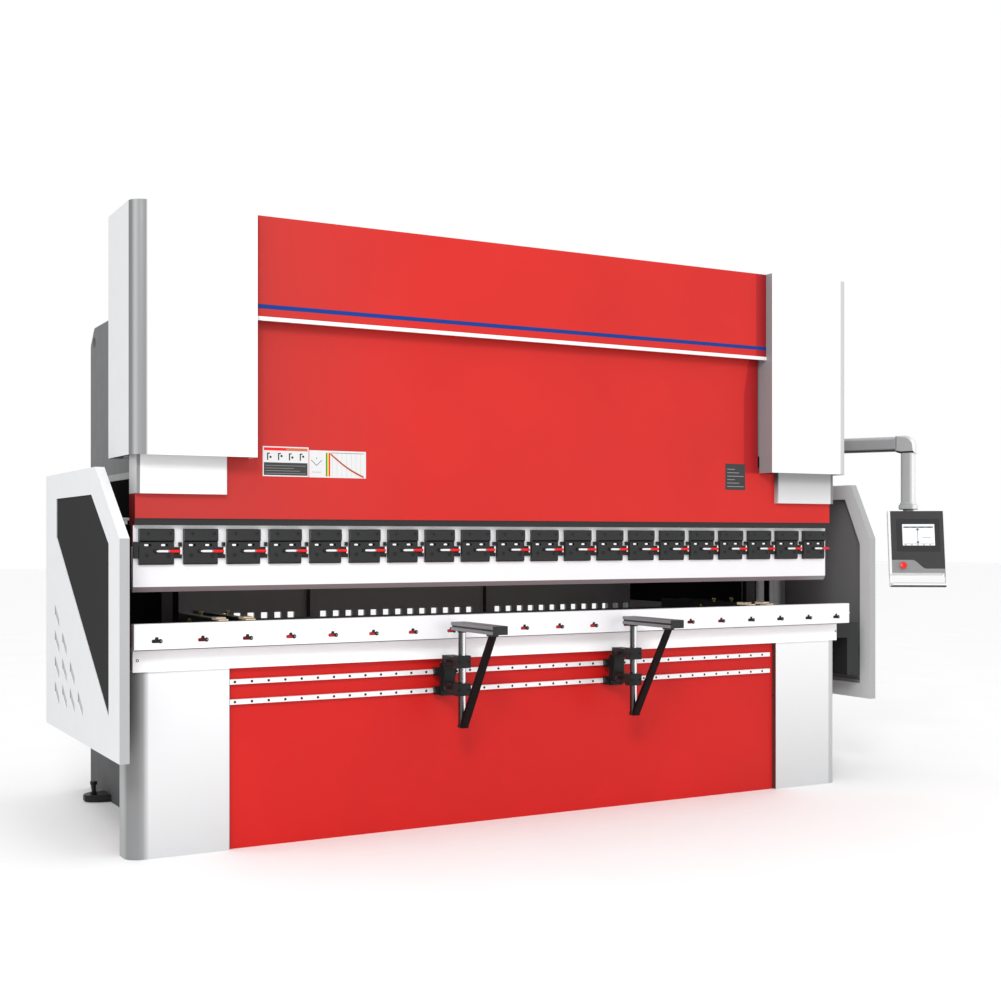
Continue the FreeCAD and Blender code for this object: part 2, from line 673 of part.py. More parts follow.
# Slanted diamonds cut through a sheet: four columns, each a row taller than the one in front
def diamond_field(body, label, low, high):
    for index in range(4):
        middle = "guard_back - diamond_rear - %d * diamond_step" % index
        sketch, hole = pocket(body, "%s_diamond_%s" % (label, "abcd"[index]), "YZ", low, high, [
            (middle + " - diamond_wide / 2", "diamond_low - diamond_tall / 2"),
            (middle + " + diamond_wide / 2", "diamond_low + diamond_tall / 2 - diamond_edge"),
            (middle + " + diamond_wide / 2", "diamond_low + diamond_tall / 2"),
            (middle + " - diamond_wide / 2", "diamond_low - diamond_tall / 2 + diamond_edge")])
        if index < 3:
            repeat(body, "%s_diamonds_%s" % (label, "abcd"[index]), [hole], sketch, "V_Axis",
                   "diamond_rise * %d" % (3 - index), str(4 - index))


# Side guards: folded dish with an inward lip, a slanted window and a field of diamonds
def guard(label, side, inside, front, slope):
    def ring(step):
        return [(front + " + " + step, "guard_low + " + step),
                ("guard_back - " + step, "guard_low + " + step),
                ("guard_back - " + step, "guard_top - " + step),
                (slope + " + %s * 0.6" % step, "guard_top - " + step),
                (front + " + " + step, "guard_bend - %s * 0.4" % step)]
    outer = inside + " + guard_thick"
    low, high = mirrored(side, inside, outer)
    body = plate(label, "YZ", low, high, ring("0"))
    low, high = mirrored(side, inside + " - through", outer + " - guard_sheet")
    pocket(body, label + "_dish", "YZ", low, high, ring("guard_sheet"))
    low, high = mirrored(side, inside, inside + " + guard_sheet")
    pad(body, label + "_lip", "YZ", low, high, [ring("0"), ring("guard_lip")])
    low, high = mirrored(side, outer + " - guard_sheet - 1", outer + " + 1")
    pocket(body, label + "_window", "YZ", low, high, [
        (front + " + window_side", "window_low"), ("guard_back - window_rear", "guard_bend + 4"),
        ("guard_back - window_rear", "guard_top - window_drop"),
        (slope + " + window_side * 0.38", "guard_top - window_drop"),
        (front + " + window_side", "guard_bend - 24")])
    diamond_field(body, label, low, high)
    node(body)
    low, high = mirrored(side, outer + " - guard_sheet - pane_thick", outer + " - guard_sheet")
    pane = plate(label.replace("guard", "window"), "YZ", low, high, [
        (front + " + pane_edge", "pane_low"), ("guard_back - pane_edge", "pane_low"),
        ("guard_back - pane_edge", "guard_top - guard_lip + 8"),
        (slope + " + pane_edge * 0.5", "guard_top - guard_lip + 8"),
        (front + " + pane_edge", "guard_bend - 8")])
    low, high = mirrored(side, outer + " - guard_sheet - pane_thick - 1",
                         outer + " - guard_sheet + 1")
    diamond_field(pane, label.replace("guard", "window"), low, high)
    node(pane)


guard("guard_left", -1, "guard_in", "guard_front", "guard_slope")
guard("guard_right", 1, "far_guard_in", "far_guard_front", "far_guard_slope")


# Guard brackets: two arms from the frame to the guard sheet, joined by an upright
def bracket(label, side, inside):
    reach = inside + " + guard_thick - guard_sheet - pane_thick"
    pieces = []
    for name, level in (("top", "arm_high"), ("low", "arm_down")):
        low, high = mirrored(side, "frame_out", reach)
        pieces.append(box("%s_%s" % (label, name), low, high, "arm_at", "arm_at + arm_thick",
                          level, level + " + bar_tall"))
    low, high = mirrored(side, inside + " - arm_thick / 2", inside)
    pieces.append(box(label + "_upright", low, high, "arm_at", "arm_at + arm_thick", "arm_down",
                      "arm_high + bar_tall"))
    return pieces


node(fuse("guard_bracket_left", bracket("bracket_left", -1, "guard_in")))
right_pieces = bracket("bracket_right", 1, "far_guard_in")
right_pieces.append(plate("end_bracket", "XZ", "end_front", "end_back", [
    ("bed_half", "end_top - end_head_tall"), ("end_leg_in", "end_top - end_head_tall"),
    ("end_leg_in", "end_low"), ("end_head_out", "end_low"), ("end_head_out", "end_top"),
    ("bed_half", "end_top")]))
right_pieces.append(box("end_beam", "end_head_out", "end_head_out + end_beam_wide",
                        "end_front + end_beam_wide", "arm_at + arm_thick", "arm_down - 10",
                        "arm_down + end_beam_wide"))
node(fuse("guard_bracket_right", right_pieces))


# Sheet rests: slotted aluminium arm on a round post, with a flat brace
def rest(label, at):
    left = at + " - rest_wide / 2"
    right = at + " + rest_wide / 2"
    top = "rest_low + rest_tall"
    mid = "rest_low + rest_tall / 2"
    tube = plate(label + "_tube", "XZ", "rest_front", "rest_back", [
        (left, "rest_low"), (right, "rest_low"), (right, mid + " - slot_tall / 2"),
        (right + " - slot_deep", mid + " - slot_tall / 2"),
        (right + " - slot_deep", mid + " + slot_tall / 2"), (right, mid + " + slot_tall / 2"),
        (right, top), (at + " + slot_tall / 2", top), (at + " + slot_tall / 2", top + " - slot_deep"),
        (at + " - slot_tall / 2", top + " - slot_deep"), (at + " - slot_tall / 2", top),
        (left, top), (left, mid + " + slot_tall / 2"),
        (left + " + slot_deep", mid + " + slot_tall / 2"),
        (left + " + slot_deep", mid + " - slot_tall / 2"), (left, mid + " - slot_tall / 2")])
    end = box(label + "_end", left, right, "rest_front - cap_plate", "rest_front", "rest_low", top)
    post = rod(label + "_post", "post_round", "rest_low - post_low", at, "post_at", "post_low")
    brace = plate(label + "_brace", "YZ", at + " - brace_wide / 2", at + " + brace_wide / 2", [
        ("post_at - post_round / 2", "post_low"), ("post_at - post_round / 2", "post_low + 30"),
        ("rest_front + 60 + brace_thick", "rest_low"), ("rest_front + 60", "rest_low"),
        ("post_at - post_round / 2 - brace_thick", "post_low + 8"),
        ("post_at - post_round / 2 - brace_thick", "post_low")])
    return node(fuse(label, [tube, end, post, brace]))


def slide(label, at):
    face = "bed_front - rail_deep - run_gap"
    back = face + " - runner_thick"
    pieces = [box(label + "_plate", at + " - slide_wide / 2", at + " + slide_wide / 2",
                  back + " - slide_thick", back, "slide_low", "slide_top")]
    for name, low in (("high", "rail_high_low"), ("low", "rail_low_low")):
        middle = low + " + rail_tall / 2"
        runner = plate("%s_runner_%s" % (label, name), "YZ", at + " - runner_wide / 2",
                       at + " + runner_wide / 2", [
            (back, middle + " - runner_tall / 2"), (back, middle + " + runner_tall / 2"),
            (face + " + rail_deep / 2", middle + " + runner_tall / 2"),
            (face + " + rail_deep / 2", middle + " + rail_tall / 2 + run_gap"),
            (face, middle + " + rail_tall / 2 + run_gap"),
            (face, middle + " - rail_tall / 2 - run_gap"),
            (face + " + rail_deep / 2", middle + " - rail_tall / 2 - run_gap"),
            (face + " + rail_deep / 2", middle + " - runner_tall / 2")])
        pieces.append(runner)
    root = back + " - slide_thick"
    arm_front = "post_at + jaw_deep / 2 - jaw_deep / 4"
    arm_top = "bracket_low + bracket_tall"
    pieces.append(plate(label + "_arm", "YZ", at + " - bracket_wide / 2",
                        at + " + bracket_wide / 2", [
        (root, "bracket_low"), (arm_front, "bracket_low"),
        (arm_front, "bracket_low + bracket_arm"), (root + " - bracket_web", "bracket_low + bracket_arm"),
        (root + " - bracket_web", arm_top + " - bracket_arm"), (arm_front, arm_top + " - bracket_arm"),
        (arm_front, arm_top), (root, arm_top)]))
    for name, low in (("upper", "jaw_high"), ("lower", "jaw_down")):
        pieces.append(box("%s_jaw_%s" % (label, name), at + " - jaw_wide / 2",
                          at + " + jaw_wide / 2", "post_at - jaw_deep / 2",
                          "post_at + jaw_deep / 2", low, low + " + jaw_tall"))
    hole = rod(label + "_hole", "post_round + run_gap", "jaw_high - jaw_down + jaw_tall + through",
               at, "post_at", "jaw_down - through / 2")
    return node(cut(label, fuse(label + "_body", pieces), [hole]))


slide("carriage_left", "rest_left_at")
slide("carriage_right", "rest_right_at")
rest("rest_left", "rest_left_at")
rest("rest_right", "rest_right_at")

# Pendant mount: plate and lug on the frame, with a turned pivot
mount_plate = box("mount_plate", "frame_out", "frame_out + through", "swing_y - arm_tall",
                  "swing_y + arm_tall", "arm_low - arm_tall * 4 / 3", "arm_low + arm_tall * 5 / 3")
mount_lug = box("mount_lug", "frame_out", "swing_x", "swing_y - pivot_round",
                "swing_y + pivot_round", "arm_low - arm_tall", "arm_low - through")
pivot = revolve("mount_pivot", "swing_x", "swing_y", [
    ("0", "arm_low - arm_tall"), ("pivot_round", "arm_low - arm_tall"),
    ("pivot_round", "arm_low - run_gap"), ("pin_round", "arm_low - run_gap"),
    ("pin_round", "arm_low + arm_tall + through"), ("0", "arm_low + arm_tall + through")])
node(fuse("pendant_mount", [mount_plate, mount_lug, pivot]))


# Pieces drawn about their own axis, then turned and set in place
def turned(obj, axis, degrees, x, y, z):
    obj.Placement = FreeCAD.Placement(V(), Rot(axis, 10))
    bind(obj, "Placement.Rotation.Angle", degrees)
    set_base(obj, x, y, z)
    return obj


# Swing arm: box tube, cast elbow with a rounded back, drop tube and bevelled collar
tube = plate("arm_tube", "YZ", "-arm_wide / 2", "arm_wide / 2", [
    ("0", "0"), ("0", "arm_tall"), ("-arm_long", "arm_tall"), ("-arm_long", "0")])
back = "-arm_long - elbow_wide / 2"
elbow = plate("arm_elbow", "YZ", "-elbow_wide / 2", "elbow_wide / 2", [
    ("-arm_long + elbow_long", "-elbow_proud"),
    ("-arm_long + elbow_long", "arm_tall + elbow_proud"), (back, "arm_tall + elbow_proud"),
    (back, "-elbow_drop"), ("-arm_long + elbow_wide / 2", "-elbow_drop")])
round_edges(elbow, "elbow_back", 0, [(back, "arm_tall + elbow_proud")], "elbow_round")
collar_low = "drop_low - arm_low"
drop = box("arm_drop", "-arm_wide / 2", "arm_wide / 2", "-arm_long - arm_wide / 2",
           "-arm_long + arm_wide / 2", collar_low, "0")
collar = plate("arm_collar", "YZ", "-collar_wide / 2", "collar_wide / 2", [
    ("-arm_long - collar_wide / 2", collar_low), ("-arm_long + collar_wide / 2", collar_low),
    ("-arm_long + collar_wide / 2", collar_low + " + collar_tall / 2"),
    ("-arm_long + arm_wide / 2", collar_low + " + collar_tall"),
    ("-arm_long - arm_wide / 2", collar_low + " + collar_tall"),
    ("-arm_long - collar_wide / 2", collar_low + " + collar_tall / 2")])
hub = rod("arm_hub", "hub_round", "arm_tall", "0", "0", "0")
eye = rod("arm_eye", "pin_round + run_gap", "arm_tall + through", "0", "0", "-through / 2")
arm = cut("pendant_arm", fuse("arm_whole", [tube, elbow, drop, collar, hub]), [eye])
turned(arm, V(0, 0, 1), "arm_turn", "swing_x", "swing_y", "arm_low")
node(arm)

# Control pendant: leaning case between side bars that run down into a handle
front = "-case_fore"
low_end = "-case_tall - grip_drop"
left = "case_shift - case_wide / 2"
right = "case_shift + case_wide / 2"
case = plate("case_body", "XZ", front, front + " + case_deep", [
    (left + " + side_bar", "-case_tall"), (right + " - side_bar", "-case_tall"),
    (right + " - side_bar", "0"), (left + " + side_bar", "0")])
round_edges(case, "case_rounds", 1, [
    (left + " + side_bar", "-case_tall"), (right + " - side_bar", "-case_tall")], "case_round")
pad(case, "case_bezel", "XZ", front + " - bezel_proud", front, [[
    ("case_shift - bezel_half", "-bezel_top - bezel_tall"),
    ("case_shift + bezel_half", "-bezel_top - bezel_tall"),
    ("case_shift + bezel_half", "-bezel_top"), ("case_shift - bezel_half", "-bezel_top")]])
pocket(case, "case_screen", "XZ", front + " - 2 * bezel_proud", front + " - bezel_proud / 3", [
    ("case_shift - screen_half", "-screen_top - screen_tall"),
    ("case_shift + screen_half", "-screen_top - screen_tall"),
    ("case_shift + screen_half", "-screen_top"), ("case_shift - screen_half", "-screen_top")])
bars = plate("case_bars", "XZ", front + " - bezel_proud", front + " + side_deep", [
    (left, low_end), (right, low_end), (right, "bezel_proud"), (right + " - side_bar", "bezel_proud"),
    (right + " - side_bar", low_end + " + grip_thick"),
    (left + " + side_bar", low_end + " + grip_thick"), (left + " + side_bar", "bezel_proud"),
    (left, "bezel_proud")])
pocket(bars, "grip_back", "XZ", front + " + grip_deep", front + " + side_deep + through", [
    (left + " - through", low_end + " - through"), (right + " + through", low_end + " - through"),
    (right + " + through", "-case_tall - grip_drop / 4"),
    (left + " - through", "-case_tall - grip_drop / 4")])
stop = rod("case_stop", "stop_round", "stop_long + through", "case_shift - stop_side",
           front + " - stop_long", "-stop_down", "y")
leaning = turned(fuse("case_leaning", [case, bars, stop]), V(-1, 0, 0), "case_lean", "0", "0", "0")
neck_pin = rod("case_neck", "pin_round * 1.5", "drop_low - case_top + case_fore - run_gap", "0",
               "0", "-case_fore")
panel = fuse("pendant_box", [leaning, neck_pin])
turned(panel, V(0, 0, 1), "case_turn", "swing_x + arm_long * sin(arm_turn)",
       "swing_y - arm_long * cos(arm_turn)", "case_top")
node(panel)

doc.recompute()
bad = []
for obj in doc.Objects:
    if "Invalid" in obj.State or "Error" in obj.State:
        bad.append(obj.Name)
for obj in NODES:
    if obj.Shape.isNull() or not obj.Shape.isValid():
        bad.append(obj.Label)
if bad:
    raise RuntimeError("not valid: " + ", ".join(bad))
os.makedirs("parts", exist_ok=True)
for obj in NODES:
    obj.Shape.exportStep("parts/%s.step" % obj.Label)
print("nodes", len(NODES))
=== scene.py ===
# Looks of the press brake: materials for every CAD node and the small pieces around them.
import itertools
import math
import bmesh
import bpy
from mathutils import Matrix, Vector


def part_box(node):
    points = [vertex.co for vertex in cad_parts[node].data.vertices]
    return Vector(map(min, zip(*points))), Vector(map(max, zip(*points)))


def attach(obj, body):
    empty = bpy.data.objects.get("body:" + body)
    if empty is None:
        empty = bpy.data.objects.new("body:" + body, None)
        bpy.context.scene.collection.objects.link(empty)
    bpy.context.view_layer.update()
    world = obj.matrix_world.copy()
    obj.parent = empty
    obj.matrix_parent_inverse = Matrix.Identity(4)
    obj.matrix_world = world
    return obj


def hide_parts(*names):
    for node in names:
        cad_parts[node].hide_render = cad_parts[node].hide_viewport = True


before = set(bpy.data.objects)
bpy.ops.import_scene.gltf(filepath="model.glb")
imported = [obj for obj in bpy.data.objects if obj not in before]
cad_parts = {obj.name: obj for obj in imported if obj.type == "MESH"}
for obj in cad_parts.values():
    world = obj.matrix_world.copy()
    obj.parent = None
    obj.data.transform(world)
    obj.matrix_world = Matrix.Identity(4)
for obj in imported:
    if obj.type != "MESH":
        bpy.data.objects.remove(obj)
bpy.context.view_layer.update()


# Materials

def new_material(name):
    material = bpy.data.materials.new(name)
    material.use_nodes = True
    tree = material.node_tree
    return material, tree, tree.nodes["Principled BSDF"]


def place_of(tree, stretch=(1, 1, 1)):
    coords = tree.nodes.new("ShaderNodeTexCoord")
    mapping = tree.nodes.new("ShaderNodeMapping")
    mapping.inputs["Scale"].default_value = stretch
    tree.links.new(coords.outputs["Object"], mapping.inputs["Vector"])
    return mapping.outputs["Vector"]


def noise(tree, vector, scale, detail=3.0, rough=0.5):
    made = tree.nodes.new("ShaderNodeTexNoise")
    made.inputs["Scale"].default_value = scale
    made.inputs["Detail"].default_value = detail
    made.inputs["Roughness"].default_value = rough
    tree.links.new(vector, made.inputs["Vector"])
    return made.outputs["Fac"]


def spread(tree, value, low, high, start=0.3, stop=0.7):
    made = tree.nodes.new("ShaderNodeMapRange")
    made.inputs["From Min"].default_value = start
    made.inputs["From Max"].default_value = stop
    made.inputs["To Min"].default_value = low
    made.inputs["To Max"].default_value = high
    tree.links.new(value, made.inputs["Value"])
    return made.outputs["Result"]


def mixed(tree, factor, first, second):
    made = tree.nodes.new("ShaderNodeMix")
    made.data_type = "RGBA"
    for socket, value in ((6, first), (7, second)):
        if isinstance(value, tuple):
            made.inputs[socket].default_value = (*value, 1)
        else:
            tree.links.new(value, made.inputs[socket])
    tree.links.new(factor, made.inputs[0])
    return made.outputs[2]


def bump(tree, shader, height, strength, depth):
    made = tree.nodes.new("ShaderNodeBump")
    made.inputs["Strength"].default_value = strength
    made.inputs["Distance"].default_value = depth
    tree.links.new(height, made.inputs["Height"])
    tree.links.new(made.outputs["Normal"], shader.inputs["Normal"])


def calculate(tree, kind, first, second):
    made = tree.nodes.new("ShaderNodeMath")
    made.operation = kind
    for socket, value in ((0, first), (1, second)):
        if isinstance(value, (int, float)):
            made.inputs[socket].default_value = value
        else:
            tree.links.new(value, made.inputs[socket])
    return made.outputs[0]


# Direction across the picture of the usual view, from left to right; the post and the arm are
# painted with shade and highlights by how they face along it
ACROSS = (0.875, -0.484, 0)

# Colours that several materials share
WHITE_TINT = (0.80, 0.81, 0.82)
FLANK_SHADE = (0.27, 0.28, 0.29)
ARM_TINT = (0.42, 0.43, 0.44)
ARM_UNDER_SHADE = (0.035, 0.035, 0.036)
POLISHED = (0.86, 0.87, 0.88)
GROUND = (0.88, 0.88, 0.90)
COOL = (1, 1.01, 1.025)


# X, Y and Z of a point on the object, in metres
def place_parts(tree):
    coords = tree.nodes.new("ShaderNodeTexCoord")
    split = tree.nodes.new("ShaderNodeSeparateXYZ")
    tree.links.new(coords.outputs["Object"], split.inputs[0])
    return split.outputs


# X, Y and Z of the way that the surface faces, from -1 to 1
def facing_parts(tree):
    geometry = tree.nodes.new("ShaderNodeNewGeometry")
    split = tree.nodes.new("ShaderNodeSeparateXYZ")
    tree.links.new(geometry.outputs["Normal"], split.inputs[0])
    return split.outputs


# Slightly cool greys along stops of (position, grey)
def grey_ramp(tree, level, stops):
    ramp = tree.nodes.new("ShaderNodeValToRGB")
    marks = ramp.color_ramp.elements
    while len(marks) < len(stops):
        marks.new(0.5)
    for mark, (position, grey) in zip(marks, stops):
        mark.position = position
        mark.color = (*(grey * share for share in COOL), 1)
    tree.links.new(level, ramp.inputs[0])
    return ramp.outputs[0]


# Painted shade and highlights: grey by how the surface faces, stops of (facing, grey), facing 0 to
# 1 along a direction
def facing_shade(tree, stops, way=(0, 1, 0), both_ways=True):
    geometry = tree.nodes.new("ShaderNodeNewGeometry")
    facing = tree.nodes.new("ShaderNodeVectorMath")
    facing.operation = "DOT_PRODUCT"
    facing.inputs[1].default_value = way
    tree.links.new(geometry.outputs["Normal"], facing.inputs[0])
    if both_ways:
        level = calculate(tree, "ABSOLUTE", facing.outputs["Value"], 0)
    else:
        level = spread(tree, facing.outputs["Value"], 0, 1, -1, 1)
    return grey_ramp(tree, level, stops)


# Painted shade and highlights of a cover or a column: along its rounded corner on the left, greys
# that follow the place along X from first to last; at the right corner one light grey; on the
# flanks side outwards and FLANK_SHADE inwards; and white on top
def corner_shading(tree, first, last, stops, side):
    across = place_parts(tree)[0]
    sideways, forwards, upwards = facing_parts(tree)
    left = grey_ramp(tree, spread(tree, across, 0, 1, first, last), stops)
    flat = spread(tree, calculate(tree, "ABSOLUTE", forwards, 0), 0, 1, 0.998, 0.9995)
    right = mixed(tree, flat, (0.55, 0.555, 0.56), WHITE_TINT)
    front = mixed(tree, spread(tree, across, 0, 1, -0.1, 0.1), left, right)
    flank = spread(tree, calculate(tree, "ABSOLUTE", sideways, 0), 0, 1, 0.98, 0.995)
    inward = spread(tree, calculate(tree, "MULTIPLY", sideways, across), 1, 0, -0.5, -0.2)
    sides = mixed(tree, flank, front, mixed(tree, inward, side, FLANK_SHADE))
    return mixed(tree, spread(tree, upwards, 0, 1, 0.90, 0.98), sides, WHITE_TINT)


# Bands of painted shadow on the ram plate at its right end: above the covers' foot, the edge of
# the first band leans to the right with height, and the second band grows towards the end
BAND_FOOT = (1.765, 1.775)
BAND_LEAN = -0.035
BAND_LEAN_LEVELS = (2.2, 2.4)
FIRST_BAND = (1.370, 1.380)
SECOND_BAND = (1.41, 1.485)
SECOND_BAND_SHARE = 0.6


# Painted shadow of the covers: one colour mixed in from last back to first on the left, and two on
# the bands at the right
def shadowed_ends(tree, tint, first, last, left, near, far):
    parts = place_parts(tree)
    across, height = parts[0], parts[2]
    tint = mixed(tree, spread(tree, across, 1, 0, first, last), tint, left)
    above = spread(tree, height, 0, 1, *BAND_FOOT)
    shift = spread(tree, height, 0, BAND_LEAN, *BAND_LEAN_LEVELS)
    leaning = calculate(tree, "ADD", across, shift)
    band = calculate(tree, "MULTIPLY", spread(tree, leaning, 0, 1, *FIRST_BAND), above)
    tint = mixed(tree, band, tint, near)
    growing = spread(tree, across, 0, SECOND_BAND_SHARE, *SECOND_BAND)
    return mixed(tree, calculate(tree, "MULTIPLY", growing, above), tint, far)


# Painted shade: other colour on the faces that look down
def shaded_under(tree, tint, under):
    return mixed(tree, spread(tree, facing_parts(tree)[2], 1, 0, -0.6, -0.2), tint, under)


FADE_SHARE = 0.45


# Powder coat: slow drift of the colour, fine orange peel and a little gloss change.
# turned: stops for facing_shade, painted shade by facing; under and over: colours of faces that
# look down or up, painted shade; fade: (low, high, colour) mixes a colour in towards the low
# level, painted shade towards the floor on the column and frames and painted light towards the
# bottom of the right cap; corner and dim: the values of corner_shading and shadowed_ends, painted
# shade
def powder_coat(name, colour, rough, drift=0.05, peel=0.12, grain=520, shine=0.25,
                turned=None, way=(0, 1, 0), both_ways=True, under=None, over=None, fade=None,
                corner=None, dim=None):
    material, tree, shader = new_material(name)
    place = place_of(tree)
    darker = tuple(c * (1 - drift) for c in colour)
    lighter = tuple(min(1, c * (1 + drift)) for c in colour)
    slow = spread(tree, noise(tree, place, 1.7, 4.0), 0, 1)
    tint = mixed(tree, slow, darker, lighter)
    if turned:
        paint = facing_shade(tree, turned, way, both_ways)
        soft = calculate(tree, "MULTIPLY", slow, 0.04)
        tint = mixed(tree, soft, paint, darker)
    if corner:
        tint = corner_shading(tree, *corner)
    if dim:
        tint = shadowed_ends(tree, tint, *dim)
    if under:
        tint = shaded_under(tree, tint, under)
    if over:
        tint = mixed(tree, spread(tree, facing_parts(tree)[2], 0, 1, 0.1, 0.5), tint, over)
    if fade:
        low, high, other = fade
        level = spread(tree, place_parts(tree)[2], FADE_SHARE, 0, low, high)
        tint = mixed(tree, level, tint, other)
    tree.links.new(tint, shader.inputs["Base Color"])
    cloudy = noise(tree, place, 9.0, 5.0)
    tree.links.new(spread(tree, cloudy, rough * 0.88, rough * 1.12), shader.inputs["Roughness"])
    bump(tree, shader, noise(tree, place, grain, 2.0), peel, 0.0004)
    shader.inputs["Specular IOR Level"].default_value = shine
    return material


# Ground or drawn metal: streaks along one axis in colour and height, and a broad gloss change
def drawn_metal(name, colour, rough, stretch, streak=0.08, metal=1.0, turned=None,
                way=(0, 1, 0), both_ways=True, under=None):
    material, tree, shader = new_material(name)
    lines = noise(tree, place_of(tree, stretch), 60, 4.0, 0.6)
    broad = noise(tree, place_of(tree), 2.5, 4.0)
    darker = tuple(c * (1 - streak) for c in colour)
    tint = mixed(tree, spread(tree, lines, 0, 1), darker, colour)
    if turned:
        paint = facing_shade(tree, turned, way, both_ways)
        tint = mixed(tree, calculate(tree, "MULTIPLY", lines, 0.08), paint, darker)
    if under:
        tint = shaded_under(tree, tint, under)
    tree.links.new(tint, shader.inputs["Base Color"])
    tree.links.new(spread(tree, broad, rough * 0.8, rough * 1.25), shader.inputs["Roughness"])
    bump(tree, shader, lines, 0.06, 0.0003)
    shader.inputs["Metallic"].default_value = metal
    return material


# Moulded plastic with a faint mottle; glow makes it give off light
def plastic(name, colour, rough, mottle=0.06, glow=0.0, shine=0.3):
    material, tree, shader = new_material(name)
    place = place_of(tree)
    dark = tuple(c * (1 - mottle) for c in colour)
    tree.links.new(mixed(tree, spread(tree, noise(tree, place, 60, 4.0), 0, 1), dark, colour),
                   shader.inputs["Base Color"])
    tree.links.new(spread(tree, noise(tree, place, 25, 3.0), rough * 0.85, rough * 1.15),
                   shader.inputs["Roughness"])
    bump(tree, shader, noise(tree, place, 1500, 2.0), 0.05, 0.0002)
    shader.inputs["Specular IOR Level"].default_value = shine
    if glow:
        shader.inputs["Emission Color"].default_value = (*colour, 1)
        shader.inputs["Emission Strength"].default_value = glow
    return material


# Stops of (position, grey) for corners, and of (facing, grey) for turned pieces: painted shade and
# highlights
COVER_CORNER = [(0.0, 0.13), (0.06, 0.14), (0.12, 0.17), (0.20, 0.30), (0.257, 0.36),
                (0.33, 0.33), (0.44, 0.25), (0.65, 0.215), (0.84, 0.22), (0.90, 0.50), (1.0, 0.80)]
COLUMN_CORNER = [(0.0, 0.27), (0.05, 0.27), (0.065, 0.15), (0.50, 0.17), (0.72, 0.27),
                 (0.80, 0.42), (0.92, 0.62), (1.0, 0.80)]
GUARD_TURN = [(0.0, 0.67), (0.30, 0.67), (0.45, 0.80), (0.75, 0.80), (0.90, 0.37), (1.0, 0.37)]
ARM_TURN = [(0.0, 0.26), (0.27, 0.27), (0.34, 0.42), (0.60, 0.50), (0.80, 0.62), (0.92, 0.80)]
DROP_TURN = [(0.0, 0.34), (0.27, 0.35), (0.33, 0.52), (0.50, 0.55), (0.58, 0.80), (1.0, 0.84)]
POST_TURN = [(0.0, 0.10), (0.08, 0.03), (0.42, 0.06), (0.56, 0.10), (0.62, 0.88), (0.92, 0.92),
             (0.96, 0.05)]
PANE_TURN = [(0.0, 0.19), (0.40, 0.19), (0.60, 0.042), (1.0, 0.042)]
ROUND_TURN = [(0.0, 0.12), (0.25, 0.20), (0.42, 0.85), (0.60, 0.75), (0.75, 0.20), (1.0, 0.10)]
# Covers and columns: painted shade and highlights on their corners and flanks; the columns are
# also painted darker towards the floor as shade
WHITE = powder_coat("white_coat", WHITE_TINT, 0.34, 0.015, shine=0.35,
                    corner=(-2.044, -1.970, COVER_CORNER, (0.61, 0.62, 0.63)))
COLUMN = powder_coat("column_coat", WHITE_TINT, 0.36, 0.015, shine=0.35,
                     corner=(-2.040, -1.945, COLUMN_CORNER, (0.33, 0.333, 0.34)),
                     fade=(0.0, 0.8, (0.30, 0.305, 0.31)))
CAP_RIGHT = powder_coat("shaded_white", (0.44, 0.445, 0.455), 0.5, 0.015, shine=0.1,
                        turned=[(0.0, 0.06), (0.30, 0.06), (0.40, 0.46), (1.0, 0.46)],
                        way=(1, 0, 0), both_ways=False, fade=(1.605, 1.75, (0.95, 0.95, 0.96)))
PLAIN_WHITE = powder_coat("plain_white_coat", WHITE_TINT, 0.36, 0.015, shine=0.35)
# Guards: greys by facing, painted shade on the sides and on the front lip
GUARD = powder_coat("guard_coat", WHITE_TINT, 0.36, 0.015, shine=0.3, turned=GUARD_TURN)
RETURN = powder_coat("return_grey", (0.54, 0.545, 0.55), 0.36, 0.015)
# Red of the front panel and the ram, with painted shadow of the covers at both ends
RED = powder_coat("red_coat", (0.56, 0.021, 0.017), 0.36, shine=0.2,
                  dim=(-1.75, -0.60, (0.44, 0.033, 0.029), (0.40, 0.013, 0.016),
                       (0.16, 0.010, 0.014)))
BED_RED = powder_coat("bed_red_coat", (0.55, 0.012, 0.010), 0.36, shine=0.2)
RETURN_RED = powder_coat("return_red", (0.13, 0.030, 0.030), 0.45, shine=0.15)
KEY_RED = powder_coat("key_red", (0.42, 0.012, 0.016), 0.4)
# C frames, painted darker towards the floor as shade
FRAME_GREY = powder_coat("frame_grey_coat", (0.155, 0.157, 0.16), 0.6, drift=0.02, shine=0.06,
                         fade=(0.0, 1.1, (0.015, 0.015, 0.016)))
PANEL_GREY = powder_coat("rear_panel_coat", (0.215, 0.25, 0.25), 0.5)
BLACK = powder_coat("black_coat", (0.010, 0.011, 0.011), 0.42)
SHADE = powder_coat("shade_black", (0.006, 0.006, 0.006), 0.9, shine=0.0)
DIAMOND = powder_coat("diamond_grey", (0.45, 0.452, 0.455), 0.6, shine=0.1)
STRIP = powder_coat("strip_grey", (0.90, 0.90, 0.91), 0.5, shine=0.1)
ROUND = powder_coat("round_grey", (0.2, 0.2, 0.2), 0.5, shine=0.1, turned=ROUND_TURN,
                    both_ways=False)
SIDE_GREY = powder_coat("side_grey", (0.22, 0.222, 0.225), 0.45)
STEEL = drawn_metal("ground_steel", GROUND, 0.34, (1, 30, 30), 0.04, 0.25)
